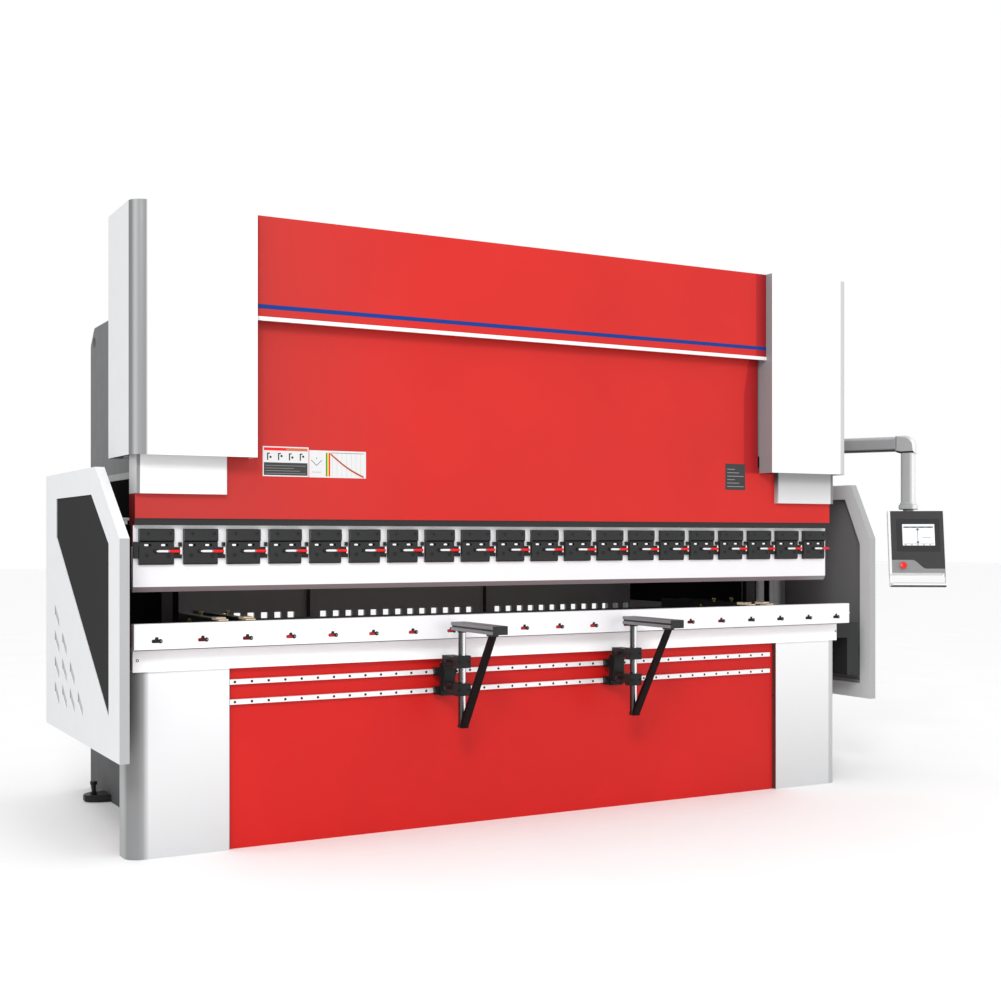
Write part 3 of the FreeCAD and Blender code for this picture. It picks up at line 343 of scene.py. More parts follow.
# Punch bar, with painted shade on its faces that look down
PUNCH = drawn_metal("punch_steel", GROUND, 0.34, (1, 30, 30), 0.04, 0.25,
                    under=(0.004, 0.012, 0.022))
BAR = drawn_metal("lower_bar_steel", (0.96, 0.97, 0.98), 0.4, (1, 30, 30), 0.02, 0.0)
RAIL = drawn_metal("rail_steel", (0.88, 0.88, 0.89), 0.30, (1, 40, 40), 0.05, 0.35)
CHROME = drawn_metal("chrome_rod", POLISHED, 0.09, (30, 30, 1), 0.03)
# Chrome post: painted shade on its left and a painted reflection on its right, by facing
POST = drawn_metal("post_chrome", POLISHED, 0.25, (30, 30, 1), 0.03,
                   turned=POST_TURN, way=ACROSS, both_ways=False)
PANE = powder_coat("dark_pane", (0.040, 0.040, 0.041), 0.8, drift=0.01, peel=0.02, shine=0.0)
# Right window pane: lighter on its faces that look left, painted light
FAR_PANE = powder_coat("far_pane", (0.042, 0.042, 0.042), 0.8, peel=0.02, shine=0.0,
                       turned=PANE_TURN, way=(1, 0, 0), both_ways=False)
ALLOY = drawn_metal("anodised_profile", (0.21, 0.215, 0.225), 0.38, (30, 1, 30), 0.12, 0.4)
# Swing arm and drop tube: painted shade and highlights by how they face across the view, and
# painted shade underneath
ARM = powder_coat("arm_coat", ARM_TINT, 0.45, turned=ARM_TURN, way=ACROSS, shine=0.15,
                  both_ways=False, under=ARM_UNDER_SHADE, over=(0.42, 0.425, 0.43))
DROP = powder_coat("drop_coat", ARM_TINT, 0.45, turned=DROP_TURN, way=ACROSS,
                   shine=0.15, both_ways=False, under=ARM_UNDER_SHADE)
SHELL = powder_coat("pendant_shell", (0.78, 0.79, 0.80), 0.38)
CLAMP = powder_coat("clamp_black", (0.022, 0.023, 0.023), 0.40)
DARK = plastic("dark_plastic", (0.008, 0.008, 0.009), 0.4)
PANEL = plastic("pendant_panel", (0.056, 0.056, 0.057), 0.6, shine=0.08)
BEZEL = plastic("pendant_bezel", (0.040, 0.040, 0.041), 0.6, shine=0.08)
BAND = plastic("pendant_band", (0.27, 0.273, 0.277), 0.5, shine=0.1)
ORANGE = plastic("plate_orange", (0.55, 0.14, 0.06), 0.4)
GRIP = plastic("red_grip", (0.80, 0.008, 0.008), 0.28)
SCREEN = plastic("screen_sheet", (0.80, 0.84, 0.88), 0.15, 0.02, glow=0.1)
INK = plastic("screen_ink", (0.16, 0.17, 0.20), 0.4, shine=0.1)
BLUE = powder_coat("blue_stripe", (0.0, 0.034, 0.22), 0.35)
BRASS = drawn_metal("brass_knob", (0.42, 0.38, 0.14), 0.3, (1, 1, 30), 0.2)
CREAM = powder_coat("cream_tip", (0.95, 0.86, 0.58), 0.4)
TIE = powder_coat("tie_grey", (0.05, 0.051, 0.053), 0.5)
BRACE = powder_coat("brace_brown", (0.006, 0.003, 0.003), 0.6, shine=0.1)
PALE = plastic("plate_white", (0.66, 0.665, 0.67), 0.4, 0.03)
GREEN = plastic("plate_green", (0.02, 0.25, 0.03), 0.4)
YELLOW = plastic("plate_yellow", (0.80, 0.62, 0.04), 0.4)
WINE = powder_coat("dark_red", (0.14, 0.010, 0.010), 0.5, shine=0.1)

# The right ram cap and guard bracket are painted darker than their left twins as shade, and the
# right window lighter as painted light
LOOKS = {
    "frame_left": FRAME_GREY, "frame_right": FRAME_GREY, "bed_plate": BED_RED,
    "bed_lower_bar": BAR, "bed_top_bar": STEEL, "column_left": COLUMN, "column_right": COLUMN,
    "rail_upper": RAIL, "rail_lower": RAIL, "cover_left": WHITE, "cover_right": WHITE,
    "front_panel": RED, "panel_trim": PLAIN_WHITE, "cylinder_left": BLACK,
    "cylinder_right": BLACK, "ram_plate": RED, "rod_left": CHROME, "rod_right": CHROME,
    "ram_strip": CLAMP, "ram_cap_left": PLAIN_WHITE, "ram_cap_right": CAP_RIGHT,
    "punch_bar": PUNCH,
    "tool_clamps": CLAMP, "rear_panels": PANEL_GREY, "tie_beam": TIE, "rear_foot_left": BLACK,
    "rear_foot_right": BLACK, "gauge_guide_left": RAIL, "gauge_guide_right": RAIL,
    "gauge_beam": BLACK, "gauge_fingers_left": BLACK, "gauge_fingers_right": BLACK,
    "guard_left": GUARD, "guard_right": GUARD, "window_left": PANE,
    "window_right": FAR_PANE, "guard_bracket_left": PLAIN_WHITE, "guard_bracket_right": CLAMP,
    "carriage_left": BLACK, "carriage_right": BLACK, "rest_left": ALLOY, "rest_right": ALLOY,
    "pendant_mount": FRAME_GREY, "pendant_arm": ARM, "pendant_box": SHELL,
}
for name, material in LOOKS.items():
    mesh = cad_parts[name].data
    if not mesh.materials:
        mesh.materials.append(material)
    for index in range(len(mesh.materials)):
        mesh.materials[index] = material


# Mesh building: shapes are gathered in one Gather and made into one object

class Gather:
    def __init__(self):
        self.points = []
        self.faces = []
        self.looks = []
        self.looks_used = []
        self.turn = Matrix()

    def add(self, points, faces, look):
        if look not in self.looks_used:
            self.looks_used.append(look)
        first = len(self.points)
        self.points.extend(tuple(self.turn @ Vector(p)) for p in points)
        self.faces.extend([first + i for i in face] for face in faces)
        self.looks.extend([self.looks_used.index(look)] * len(faces))

    # Block with every edge chamfered by c
    def block(self, x, y, z, look, c=0.001):
        spans = (x, y, z)
        points = []
        index = {}
        corners = list(itertools.product((0, 1), repeat=3))
        for signs in corners:
            for axis in (0, 1, 2):
                point = []
                for k in (0, 1, 2):
                    inset = 0 if k == axis else c
                    point.append(spans[k][signs[k]] + (inset if signs[k] == 0 else -inset))
                index[(*signs, axis)] = len(points)
                points.append(point)
        faces = []
        ring = ((0, 0), (1, 0), (1, 1), (0, 1))
        for axis in (0, 1, 2):
            for side in (0, 1):
                face = []
                for a, b in ring:
                    signs = [a, b]
                    signs.insert(axis, side)
                    face.append(index[(*signs, axis)])
                faces.append(face)
        for axis in (0, 1, 2):
            others = [k for k in (0, 1, 2) if k != axis]
            for a, b in itertools.product((0, 1), repeat=2):
                face = []
                for end, kinds in ((0, others), (1, others[::-1])):
                    for kind in kinds:
                        signs = [a, b]
                        signs.insert(axis, end)
                        face.append(index[(*signs, kind)])
                faces.append(face)
        for signs in corners:
            faces.append([index[(*signs, k)] for k in (0, 1, 2)])
        self.add(points, faces, look)

    # Outline of (u, v) points pushed along an axis, with its end edges chamfered by c;
    # u and v are the other two axes in order
    def prism(self, outline, axis, low, high, look, c=0.0):
        middle = (sum(p[0] for p in outline) / len(outline),
                  sum(p[1] for p in outline) / len(outline))
        levels = [(low, c), (low + c, 0), (high - c, 0), (high, c)] if c else [(low, 0), (high, 0)]
        points = []
        for level, inset in levels:
            for u, v in outline:
                du, dv = middle[0] - u, middle[1] - v
                size = max(math.hypot(du, dv), 1e-6)
                spot = [u + du / size * inset, v + dv / size * inset]
                spot.insert(axis, level)
                points.append(spot)
        count = len(outline)
        faces = [list(range(count)), list(range((len(levels) - 1) * count, len(levels) * count))]
        for step in range(len(levels) - 1):
            for i in range(count):
                j = (i + 1) % count
                a = step * count
                faces.append([a + i, a + j, a + count + j, a + count + i])
        self.add(points, faces, look)

    # Profile of (radius, height) points turned about an axis through centre
    def lathe(self, profile, centre, axis, look, sides=24, capped=True):
        points = []
        for radius, height in profile:
            for i in range(sides):
                angle = 2 * math.pi * i / sides
                spot = [radius * math.cos(angle), radius * math.sin(angle)]
                spot.insert(axis, height)
                points.append([spot[k] + centre[k] for k in (0, 1, 2)])
        faces = []
        if capped:
            faces = [list(range(sides)), list(range(len(points) - sides, len(points)))]
        for step in range(len(profile) - 1):
            for i in range(sides):
                j = (i + 1) % sides
                a = step * sides
                faces.append([a + i, a + j, a + sides + j, a + sides + i])
        self.add(points, faces, look)

    def make(self, name, body, angle=32):
        mesh = bpy.data.meshes.new(name)
        mesh.from_pydata(self.points, [], self.faces)
        for look in self.looks_used:
            mesh.materials.append(look)
        mesh.polygons.foreach_set("material_index", self.looks)
        mesh.validate()
        tidy = bmesh.new()
        tidy.from_mesh(mesh)
        bmesh.ops.remove_doubles(tidy, verts=tidy.verts, dist=1e-6)
        bmesh.ops.recalc_face_normals(tidy, faces=tidy.faces)
        tidy.to_mesh(mesh)
        tidy.free()
        mesh.polygons.foreach_set("use_smooth", [True] * len(mesh.polygons))
        mesh.set_sharp_from_angle(angle=math.radians(angle))
        piece = bpy.data.objects.new(name, mesh)
        bpy.context.collection.objects.link(piece)
        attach(piece, body)
        return piece


# Small round-edged head with a hexagon socket, facing along an axis
def socket_screw(gather, centre, axis, way, radius, high, look, hollow):
    dome = [(radius, 0), (radius, high * 0.7), (radius * 0.85, high), (radius * 0.5, high),
            (radius * 0.5, high * 0.98)]
    gather.lathe([(r, way * h) for r, h in dome], centre, axis, look, 16)
    rim = [(radius * 0.5, high * 1.01), (radius * 0.2, high * 1.01)]
    gather.lathe([(r, way * h) for r, h in rim], centre, axis, hollow, 6)


# Span between two distances from the middle plane, on the left (-1) or the right (1)
def span(side, first, second):
    return sorted((side * first, side * second))


# Row of tool clamps on the ram, built as stepped blocks with levers, pins and screws
CLAMP_PITCH = 0.2
CLAMP_COUNT = 20
CLAMP_HALF = 0.0775
PUNCH_FACE = -0.016
CLAMP_FACE = -0.036
CLAMP_STEP = -0.045
HOOK_FACE = -0.029
LEVER_FRONT = -0.0425
LEVER_LEVEL = 1.350
SLOT_LEVEL = 1.3775
SLOT_ANGLES = [math.pi * (2 * k + 1) / 16 for k in range(16)]
clamps = Gather()
metal = Gather()
grips = Gather()
for index in range(CLAMP_COUNT):
    x = -CLAMP_PITCH * (CLAMP_COUNT - 1) / 2 + CLAMP_PITCH * index
    side = [(PUNCH_FACE, 1.290), (-0.030, 1.290), (CLAMP_FACE, 1.296), (CLAMP_FACE, 1.394),
            (-0.0375, 1.396), (CLAMP_STEP, 1.398), (CLAMP_STEP, 1.445), (-0.041, 1.450),
            (PUNCH_FACE, 1.450)]
    clamps.prism(side, 0, x - CLAMP_HALF, x + CLAMP_HALF, CLAMP, 0.0012)
    # A thin black strip under the clamp's step, painted shadow
    clamps.block((x - 0.0765, x + 0.0765), (-0.0395, -0.030), (1.3915, 1.3978), SHADE, 0.0006)
    if index == 0:
        clamps.block((x - 0.1, x - 0.081), (HOOK_FACE, PUNCH_FACE), (1.318, 1.392), CLAMP, 0.001)
    else:
        clamps.block((x - 0.0985, x - 0.085), (-0.031, PUNCH_FACE), (1.372, 1.390), BLACK, 0.001)
        clamps.block((x - 0.123, x - 0.085), (HOOK_FACE, PUNCH_FACE), (1.318, 1.3685), BLACK,
                     0.001)
        metal.block((x - 0.094, x - 0.0855), (-0.0305, -0.0285), (1.336, 1.3675), STEEL, 0.0006)
    for dx, z, y, radius in ((-0.0407, 1.4286, CLAMP_STEP, 0.0075),
                             (0.059, 1.4286, CLAMP_STEP, 0.0075),
                             (-0.0445, 1.3315, CLAMP_FACE, 0.009),
                             (0.052, 1.328, CLAMP_FACE, 0.009)):
        clamps.lathe([(radius, 0.0), (radius, -0.0012), (radius * 0.86, -0.0012),
                      (radius * 0.8, -0.0004), (radius * 0.3, -0.0004)],
                     (x + dx, y, z), 1, BLACK, 18)
    for dx in (-0.047, 0.028):
        oval = [(x + dx + 0.005 * (1 if math.cos(a) > 0 else -1) + 0.0042 * math.cos(a),
                 SLOT_LEVEL + 0.0044 * math.sin(a)) for a in SLOT_ANGLES]
        metal.prism(oval, 1, -0.0375, CLAMP_FACE, STEEL)
        clamps.lathe([(0.006, 0), (0.006, -0.001), (0.003, -0.0014)],
                     (x + dx + 0.017, CLAMP_FACE, SLOT_LEVEL), 1, SHADE, 14)
    clamps.lathe([(0.004, 0.002), (0.0075, 0), (0.0080, -0.005), (0.006, -0.009),
                  (0.003, -0.0105)], (x - 0.007, CLAMP_FACE, LEVER_LEVEL), 1, BLACK, 18)
    lever = (x, LEVER_FRONT, LEVER_LEVEL)
    metal.lathe([(0.0040, -0.003), (0.0044, 0.005), (0.0056, 0.0065), (0.0058, 0.047),
                 (0.0048, 0.049)], lever, 0, STEEL, 18)
    metal.lathe([(0.0048, 0.049), (0.0062, 0.050), (0.0062, 0.0535), (0.0050, 0.055)], lever, 0,
                SIDE_GREY, 18)
    grips.lathe([(0.0060, 0.0545), (0.0067, 0.056), (0.0068, 0.064), (0.0068, 0.100),
                 (0.0060, 0.103), (0.0030, 0.1045)], lever, 0, GRIP, 18)
clamp_piece = clamps.make("clamp_blocks", "ram")
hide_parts("tool_clamps")
metal.make("clamp_levers", "ram")
grips.make("clamp_grips", "ram")


# Plugs in the rail screw holes
RAIL_LEVELS = (0.758, 0.667)
RAIL_FACE = -0.077
PLUG_COUNT = 39
PLUG_PITCH = 0.08
FIRST_PLUG = -1.556
plugs = Gather()
for level in RAIL_LEVELS:
    for index in range(PLUG_COUNT):
        plugs.lathe([(0.0062, 0.0006), (0.0062, -0.0004), (0.0048, -0.0006), (0.0018, -0.0006)],
                    (FIRST_PLUG + PLUG_PITCH * index, RAIL_FACE, level), 1, DARK, 16)
plugs.make("rail_plugs", "base")

# Locking pins behind the keyholes of the top bar, black so that they also stand in for the shade
# inside the holes, each with a grey disc as a painted highlight; the red seats behind are painted
# shade that darkens towards both ends
KEY_COUNT = 20
KEY_PITCH = 0.204
FIRST_KEY = -1.938
KEY_LEVEL = 0.962
KEY_BACK = -0.1315
SHADED_SEATS = (1, 2, 12, 13, 14, 15)
DEEP_SHADED_SEATS = (0, 16, 17, 18, 19)
keys = Gather()
for index in range(KEY_COUNT):
    x = FIRST_KEY + KEY_PITCH * index
    seat = KEY_RED
    if index in SHADED_SEATS:
        seat = WINE
    elif index in DEEP_SHADED_SEATS:
        seat = BLACK
    keys.lathe([(0.0078, 0.0), (0.0078, -0.0420), (0.0098, -0.0442), (0.0098, -0.0450),
                (0.0030, -0.0450)], (x + 0.0165, KEY_BACK, KEY_LEVEL), 1, BLACK, 20)
    keys.lathe([(0.0040, -0.0446), (0.0040, -0.0454), (0.0030, -0.0454)],
               (x + 0.0205, KEY_BACK, KEY_LEVEL), 1, SIDE_GREY, 14)
    keys.block((x - 0.0075, x + 0.0075), (-0.1764, KEY_BACK), (0.968, 0.9805), BLACK, 0.001)
    keys.block((x - 0.0215, x + 0.0100), (-0.1720, KEY_BACK), (0.9545, 0.9695), seat, 0.0006)
keys.make("bar_keys", "base")

# Blue stripe on the front panel
lines = Gather()
lines.block((-1.4795, 1.4795), (-0.1168, -0.1155), (2.450, 2.470), BLUE, 0.0003)
lines.make("front_stripe", "base")

# Line along the keyholed bar with a small pin at its right end, and holes beside the bars
pins = Gather()
pins.block((-2.035, 2.035), (-0.1764, -0.1755), (0.9823, 0.9837), RAIL, 0.0002)
pins.lathe([(0.004, 0), (0.0055, 0.001), (0.0055, 0.009), (0.004, 0.011)],
           (2.036, -0.165, 0.983), 0, RAIL, 16)
pins.make("bar_pins", "base")
holes = Gather()
for x in (-2.0, 2.012):
    holes.lathe([(0.0065, 0.0006), (0.0065, -0.0003), (0.0045, -0.0003), (0.002, 0.0003)],
                (x, -0.09, 0.874), 1, DARK, 16)
for level in (0.790, 0.525):
    holes.lathe([(0.0055, 0.0008), (0.0055, -0.0004), (0.004, -0.0006)],
                (1.578, -0.0558, level), 1, DARK, 16)
holes.make("bar_end_holes", "base")

# Red returns beside the bed front, next to the white cladding; their dark red is painted shade
returns = Gather()
BED_HALF = 1.582
BED_HEIGHTS = (0.002, 0.821)
for side in (-1, 1):
    returns.block(span(side, 1.5812, BED_HALF), (-0.0768, -0.055), BED_HEIGHTS, RETURN_RED, 0.0002)
    returns.block(span(side, 1.5725, BED_HALF), (-0.0558, -0.055), BED_HEIGHTS, RETURN_RED, 0.0002)
returns.make("bed_returns", "base")

# White returns of the ram caps over the ends of the ram, painted grey as shade with a darker strip
# at the front, and the red ends below them, painted dark red as shade
caps = Gather()
reds = Gather()
strip_low, strip_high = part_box("ram_strip")
RAM_HALF = 2.0
for side in (-1, 1):
    end = span(side, RAM_HALF, RAM_HALF + 0.001)
    caps.block(end, (-0.080, 0.048), (1.605, 1.900), RETURN, 0.0003)
    caps.block(span(side, 1.9865, 2.0008), (-0.0810, -0.0518), (1.6055, 1.900), SIDE_GREY, 0.0008)
    reds.block(end, (-0.0515, 0.048), (1.497, 1.6045), WINE, 0.0003)
    reds.block(end, (-0.012, 0.020), (1.372, strip_low.z), WINE, 0.0003)
    reds.block(span(side, strip_high.x - 0.0002, strip_high.x + 0.0006),
               (strip_low.y + 0.001, strip_high.y - 0.001),
               (strip_low.z + 0.0005, strip_high.z - 0.0005), WINE, 0.0002)
caps.make("cap_returns", "ram")
reds.make("ram_ends", "ram")

# Painted shadow line on the lower bar under the top bar, and dark strips on the rear panels' posts
shadow_line = Gather()
shadow_line.block((-2.018, 2.018), (-0.0908, -0.0896), (0.9150, 0.9190), SIDE_GREY, 0.0003)
shadow_line.make("bar_shadow_line", "base")
panel_low, panel_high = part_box("rear_panels")
PANEL_POSTS = (-0.587, 0.587)
seam = Gather()
for x in PANEL_POSTS:
    seam.block((x - 0.012, x + 0.012), (panel_low.y - 0.0012, panel_low.y + 0.001),
               (panel_low.z + 0.004, panel_high.z - 0.004), BLACK, 0.0004)
seam.make("panel_seam", "base")

# Dark sheets on the C frames at the throat, standing in for the shade there: outside with a band
# above, on the front edge and inside; the inside sheet is painted grey on the left and black on
# the right as shade
OUTSIDE = (1.772, 1.773)
OUTSIDE_DEPTH = (0.354, 1.790)
EDGE_DEPTH = (0.352, 0.3545)
EDGE_HEIGHTS = (0.962, 1.670)
sheets = Gather()
bands = Gather()
for side in (-1, 1):
    sheets.block(span(side, *OUTSIDE), OUTSIDE_DEPTH, (0.931, 1.710), SHADE, 0.0003)
    sheets.block(span(side, 1.720, 1.7725), EDGE_DEPTH, EDGE_HEIGHTS, BLACK, 0.0003)
    sheets.block(span(side, 1.6912, 1.720), EDGE_DEPTH, EDGE_HEIGHTS, SHADE, 0.0003)
    inside = PANEL_GREY if side < 0 else SHADE
    sheets.block(span(side, 1.6912, 1.692), (0.360, 1.530), (1.000, 1.700), inside, 0.0003)
    bands.block(span(side, *OUTSIDE), OUTSIDE_DEPTH, (1.711, 1.745), SIDE_GREY, 0.0003)
sheets.make("throat_shade_sheets", "base")
bands.make("throat_bands", "base")

# Inner posts of the right guard, with a black strip as painted shade and a round post painted with
# shade and a highlight by facing; bars of both guards, and light backs in their diamonds
GUARD_BACK = 2.3335
WINDOW_HEIGHTS = (0.640, 1.560)
posts = Gather()
posts.block((2.3245, GUARD_BACK), (0.919, 1.031), WINDOW_HEIGHTS, STRIP, 0.0015)
posts.block((2.3225, GUARD_BACK), (0.869, 0.9185), WINDOW_HEIGHTS, SHADE, 0.0010)
bulge = [(GUARD_BACK - 0.034 * math.sin(a), 0.7955 - 0.073 * math.cos(a))
         for a in [math.pi * k / 12 for k in range(13)]]
posts.prism(bulge, 2, *WINDOW_HEIGHTS, ROUND)
posts.make("guard_posts", "base")
bars = Gather()
bars.block((-2.085, -1.774), (0.640, 0.660), (1.494, 1.508), PLAIN_WHITE, 0.002)
bars.block((1.774, 2.334), (0.640, 0.660), (1.494, 1.508), PLAIN_WHITE, 0.002)
bars.make("guard_bars", "base")
DIAMOND_COLUMNS = 4
DIAMOND_HALF = 0.0518
backs = Gather()
for side, outer in ((-1, 2.127), (1, 2.376)):
    low, high = span(side, outer - 0.0084, outer - 0.0046)
    for column in range(DIAMOND_COLUMNS):
        y = 0.977 - 0.176 * column
        for step in range(DIAMOND_COLUMNS - column):
            z = 0.632 + 0.128 * step
            backs.prism([(y - DIAMOND_HALF, z - 0.0606), (y + DIAMOND_HALF, z + 0.0092),
                         (y + DIAMOND_HALF, z + 0.0606), (y - DIAMOND_HALF, z - 0.0092)],
                        0, low, high, DIAMOND)
backs.make("diamond_backs", "base")


# Plain plates on the ram: a bare one, a chart and a dark one
FACE = -0.052
SHEET = (FACE - 0.0012, FACE)
LOW_MARK = (FACE - 0.0015, FACE)
MARK = (FACE - 0.0016, FACE)
plates = Gather()
plates.block((-1.4165, -1.193), SHEET, (1.693, 1.831), PALE, 0.0004)
plates.block((-1.411, -1.304), MARK, (1.812, 1.8255), GRIP, 0.0003)
plates.block((-1.304, -1.1985), MARK, (1.812, 1.8255), ORANGE, 0.0003)
plates.block((-1.411, -1.1985), MARK, (1.6985, 1.757), PANEL, 0.0003)
for index in range(4):
    x = -1.396 + 0.053 * index
    plates.block((x, x + 0.006), LOW_MARK, (1.768, 1.800), BEZEL, 0.0003)
    plates.block((x, x + 0.014), LOW_MARK, (1.796, 1.801), BEZEL, 0.0003)
    plates.lathe([(0.0055, 0), (0.0055, -0.0015), (0.0035, -0.0016)],
                 (x + 0.017, FACE, 1.782 + 0.005 * (index % 2)), 1, BEZEL, 12)
for index in range(4):
    z = 1.706 + 0.012 * index
    plates.block((-1.404, -1.206 - 0.03 * (index % 3)), (FACE - 0.0019, FACE), (z, z + 0.002),
                 BAND, 0.0002)
plates.block((-1.190, -0.903), SHEET, (1.692, 1.819), PALE, 0.0004)
for index, look in enumerate((GREEN, YELLOW, GRIP)):
    x = -1.107 + 0.0072 * index
    plates.block((x, x + 0.0070), MARK, (1.698, 1.809), look, 0.0003)
curve = [(-1.083 + 0.168 * t, 1.808 - 0.106 * t - 0.010 * math.sin(math.pi * t))
         for t in [k / 12 for k in range(13)]]
band = [(x, z) for x, z in curve] + [(x - 0.001, z - 0.009) for x, z in curve[::-1]]
plates.prism(band, 1, FACE - 0.0017, FACE, ORANGE)
middle_line = [(x, z - 0.0035) for x, z in curve] + [(x, z - 0.0055) for x, z in curve[::-1]]
plates.prism(middle_line, 1, FACE - 0.0020, FACE, WINE)
plates.block((-1.083, -0.913), MARK, (1.8075, 1.810), INK, 0.0002)
for index in range(7):
    x = -1.075 + 0.024 * index
    plates.block((x, x + 0.0008), (FACE - 0.0014, FACE), (1.699, 1.806), BAND, 0.0002)
plates.prism([(-1.182, 1.772), (-1.179, 1.774), (-1.154, 1.750), (-1.128, 1.774),
              (-1.126, 1.772), (-1.154, 1.746)], 1, *MARK, INK)
plates.block((-1.178, -1.130), LOW_MARK, (1.716, 1.718), BAND, 0.0002)
plates.lathe([(0.003, 0), (0.003, -0.0015), (0.002, -0.0016)], (-1.154, FACE, 1.782), 1, INK, 10)
plates.block((1.2457, 1.384), SHEET, (1.6754, 1.8194), PANEL, 0.0004)
for index in range(6):
    z = 1.692 + 0.019 * index
    plates.block((1.258, 1.372 - 0.03 * (index % 3)), LOW_MARK, (z, z + 0.004),
                 BAND, 0.0002)
plates.make("ram_plates", "ram")

# Back gauge: cream stepped tips and brass knobs on the finger bars
FINGERS = (-1.568, -1.438, 1.518, 1.648)
TIP_HALF = 0.0228
TIP_FOOT = 1.0282
TIP_TOP = 1.0422
tips = Gather()
knobs = Gather()
for index, x in enumerate(FINGERS):
    across = (x - TIP_HALF, x + TIP_HALF)
    tips.block(across, (0.0495, 0.092), (TIP_FOOT, 1.0352), CREAM, 0.001)
    tips.block(across, (0.086, 0.159), (TIP_FOOT, TIP_TOP), CREAM, 0.001)
    for y in (0.105, 0.140):
        socket_screw(tips, (x, y, TIP_TOP), 2, 1, 0.005, 0.002, GRIP, DARK)
    knobs.lathe([(0.006, 0), (0.006, 0.006), (0.012, 0.008), (0.013, 0.018), (0.010, 0.021),
                 (0.003, 0.0215)], (x, 0.40, 1.035), 2, BRASS, 20)
    if index % 2 == 0:
        knobs.lathe([(0.006, 0), (0.006, -0.006), (0.011, -0.008), (0.012, -0.016),
                     (0.009, -0.019)], (x - 0.022, 0.48, 1.006), 0, BRASS, 20)
tips.make("finger_tips", "gauge")
knobs.make("finger_knobs", "gauge")


# Sheet rests: slotted arm, end cap, chrome post, brace and foot, in place of the CAD solids
ARM_TALL = 0.040
POST_INSET = 0.043
SLOT_DEEP = 0.007
SLOT_HALF = 0.0045
TOP_SLOT_DEEP = 0.006
TOP_SLOT_NEAR = 0.012
TOP_SLOT_FAR = 0.019
CORNER = 0.001


def build_rest(name, body):
    corner, far_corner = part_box("rest_" + name)
    x = (corner.x + far_corner.x) / 2
    half = (far_corner.x - corner.x) / 2
    floor_level = corner.z
    top = far_corner.z
    low = top - ARM_TALL
    middle = top - ARM_TALL / 2
    tip = corner.y
    post_y = far_corner.y - POST_INSET
    arm = Gather()
    right = [(half - CORNER, low), (half, low + CORNER), (half, middle - SLOT_HALF),
             (half - SLOT_DEEP, middle - SLOT_HALF), (half - SLOT_DEEP, middle + SLOT_HALF),
             (half, middle + SLOT_HALF), (half, top - CORNER), (half - CORNER, top),
             (TOP_SLOT_FAR, top), (TOP_SLOT_FAR, top - TOP_SLOT_DEEP),
             (TOP_SLOT_NEAR, top - TOP_SLOT_DEEP), (TOP_SLOT_NEAR, top)]
    outline = right + [(-u, v) for u, v in right[::-1]]
    arm.prism([(x + u, v) for u, v in outline], 1, tip + 0.0055, far_corner.y, ALLOY)
    arm_piece = arm.make("rest_arm_" + name, body)
    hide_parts("rest_" + name)
    dark = Gather()
    dark.block((x - half, x + half), (tip, tip + 0.006), (low, top), CLAMP, 0.0015)
    for dx in (-0.021, 0.021):
        socket_screw(dark, (x + dx, tip + 0.0022, middle), 1, -1, 0.0065, 0.002, BLACK, DARK)
    for side in (-1, 1):
        face = x + side * (half - 0.0068)
        dark.block((face - 0.0008, face + 0.0008), (tip + 0.006, far_corner.y - 0.001),
                   (middle - 0.0044, middle + 0.0044), DARK, 0.0003)
    near = post_y - 0.018
    dark.prism([(near, floor_level), (near, floor_level + 0.028), (tip + 0.077, low - 0.001),
                (tip + 0.065, low - 0.001), (near - 0.012, floor_level + 0.008),
                (near - 0.012, floor_level)], 0, x - 0.019, x + 0.019, BRACE, 0.001)
    dark.block((x - 0.021, x + 0.021), (tip + 0.055, tip + 0.100), (low - 0.010, low), CLAMP,
               0.002)
    dark.lathe([(0.020, 0.0), (0.0215, 0.002), (0.0215, 0.014), (0.019, 0.017)],
               (x, post_y, floor_level), 2, BLACK, 28)
    dark.lathe([(0.019, -0.010), (0.0225, -0.009), (0.0225, 0.0)], (x, post_y, low), 2, BLACK, 28)
    dark.make("rest_fittings_" + name, body)
    post = Gather()
    post.lathe([(0.0170, floor_level + 0.014), (0.018, floor_level + 0.016), (0.018, low)],
               (x, post_y, 0), 2, POST, 40)
    post.make("rest_post_" + name, body, 60)


build_rest("left", "rest_a")
build_rest("right", "rest_b")


# Carriage fittings: knobs, screws, jaw slits and wedge ends on the runners
JAW_LEVELS = (0.790, 0.658)
JAW_TALL = 0.059


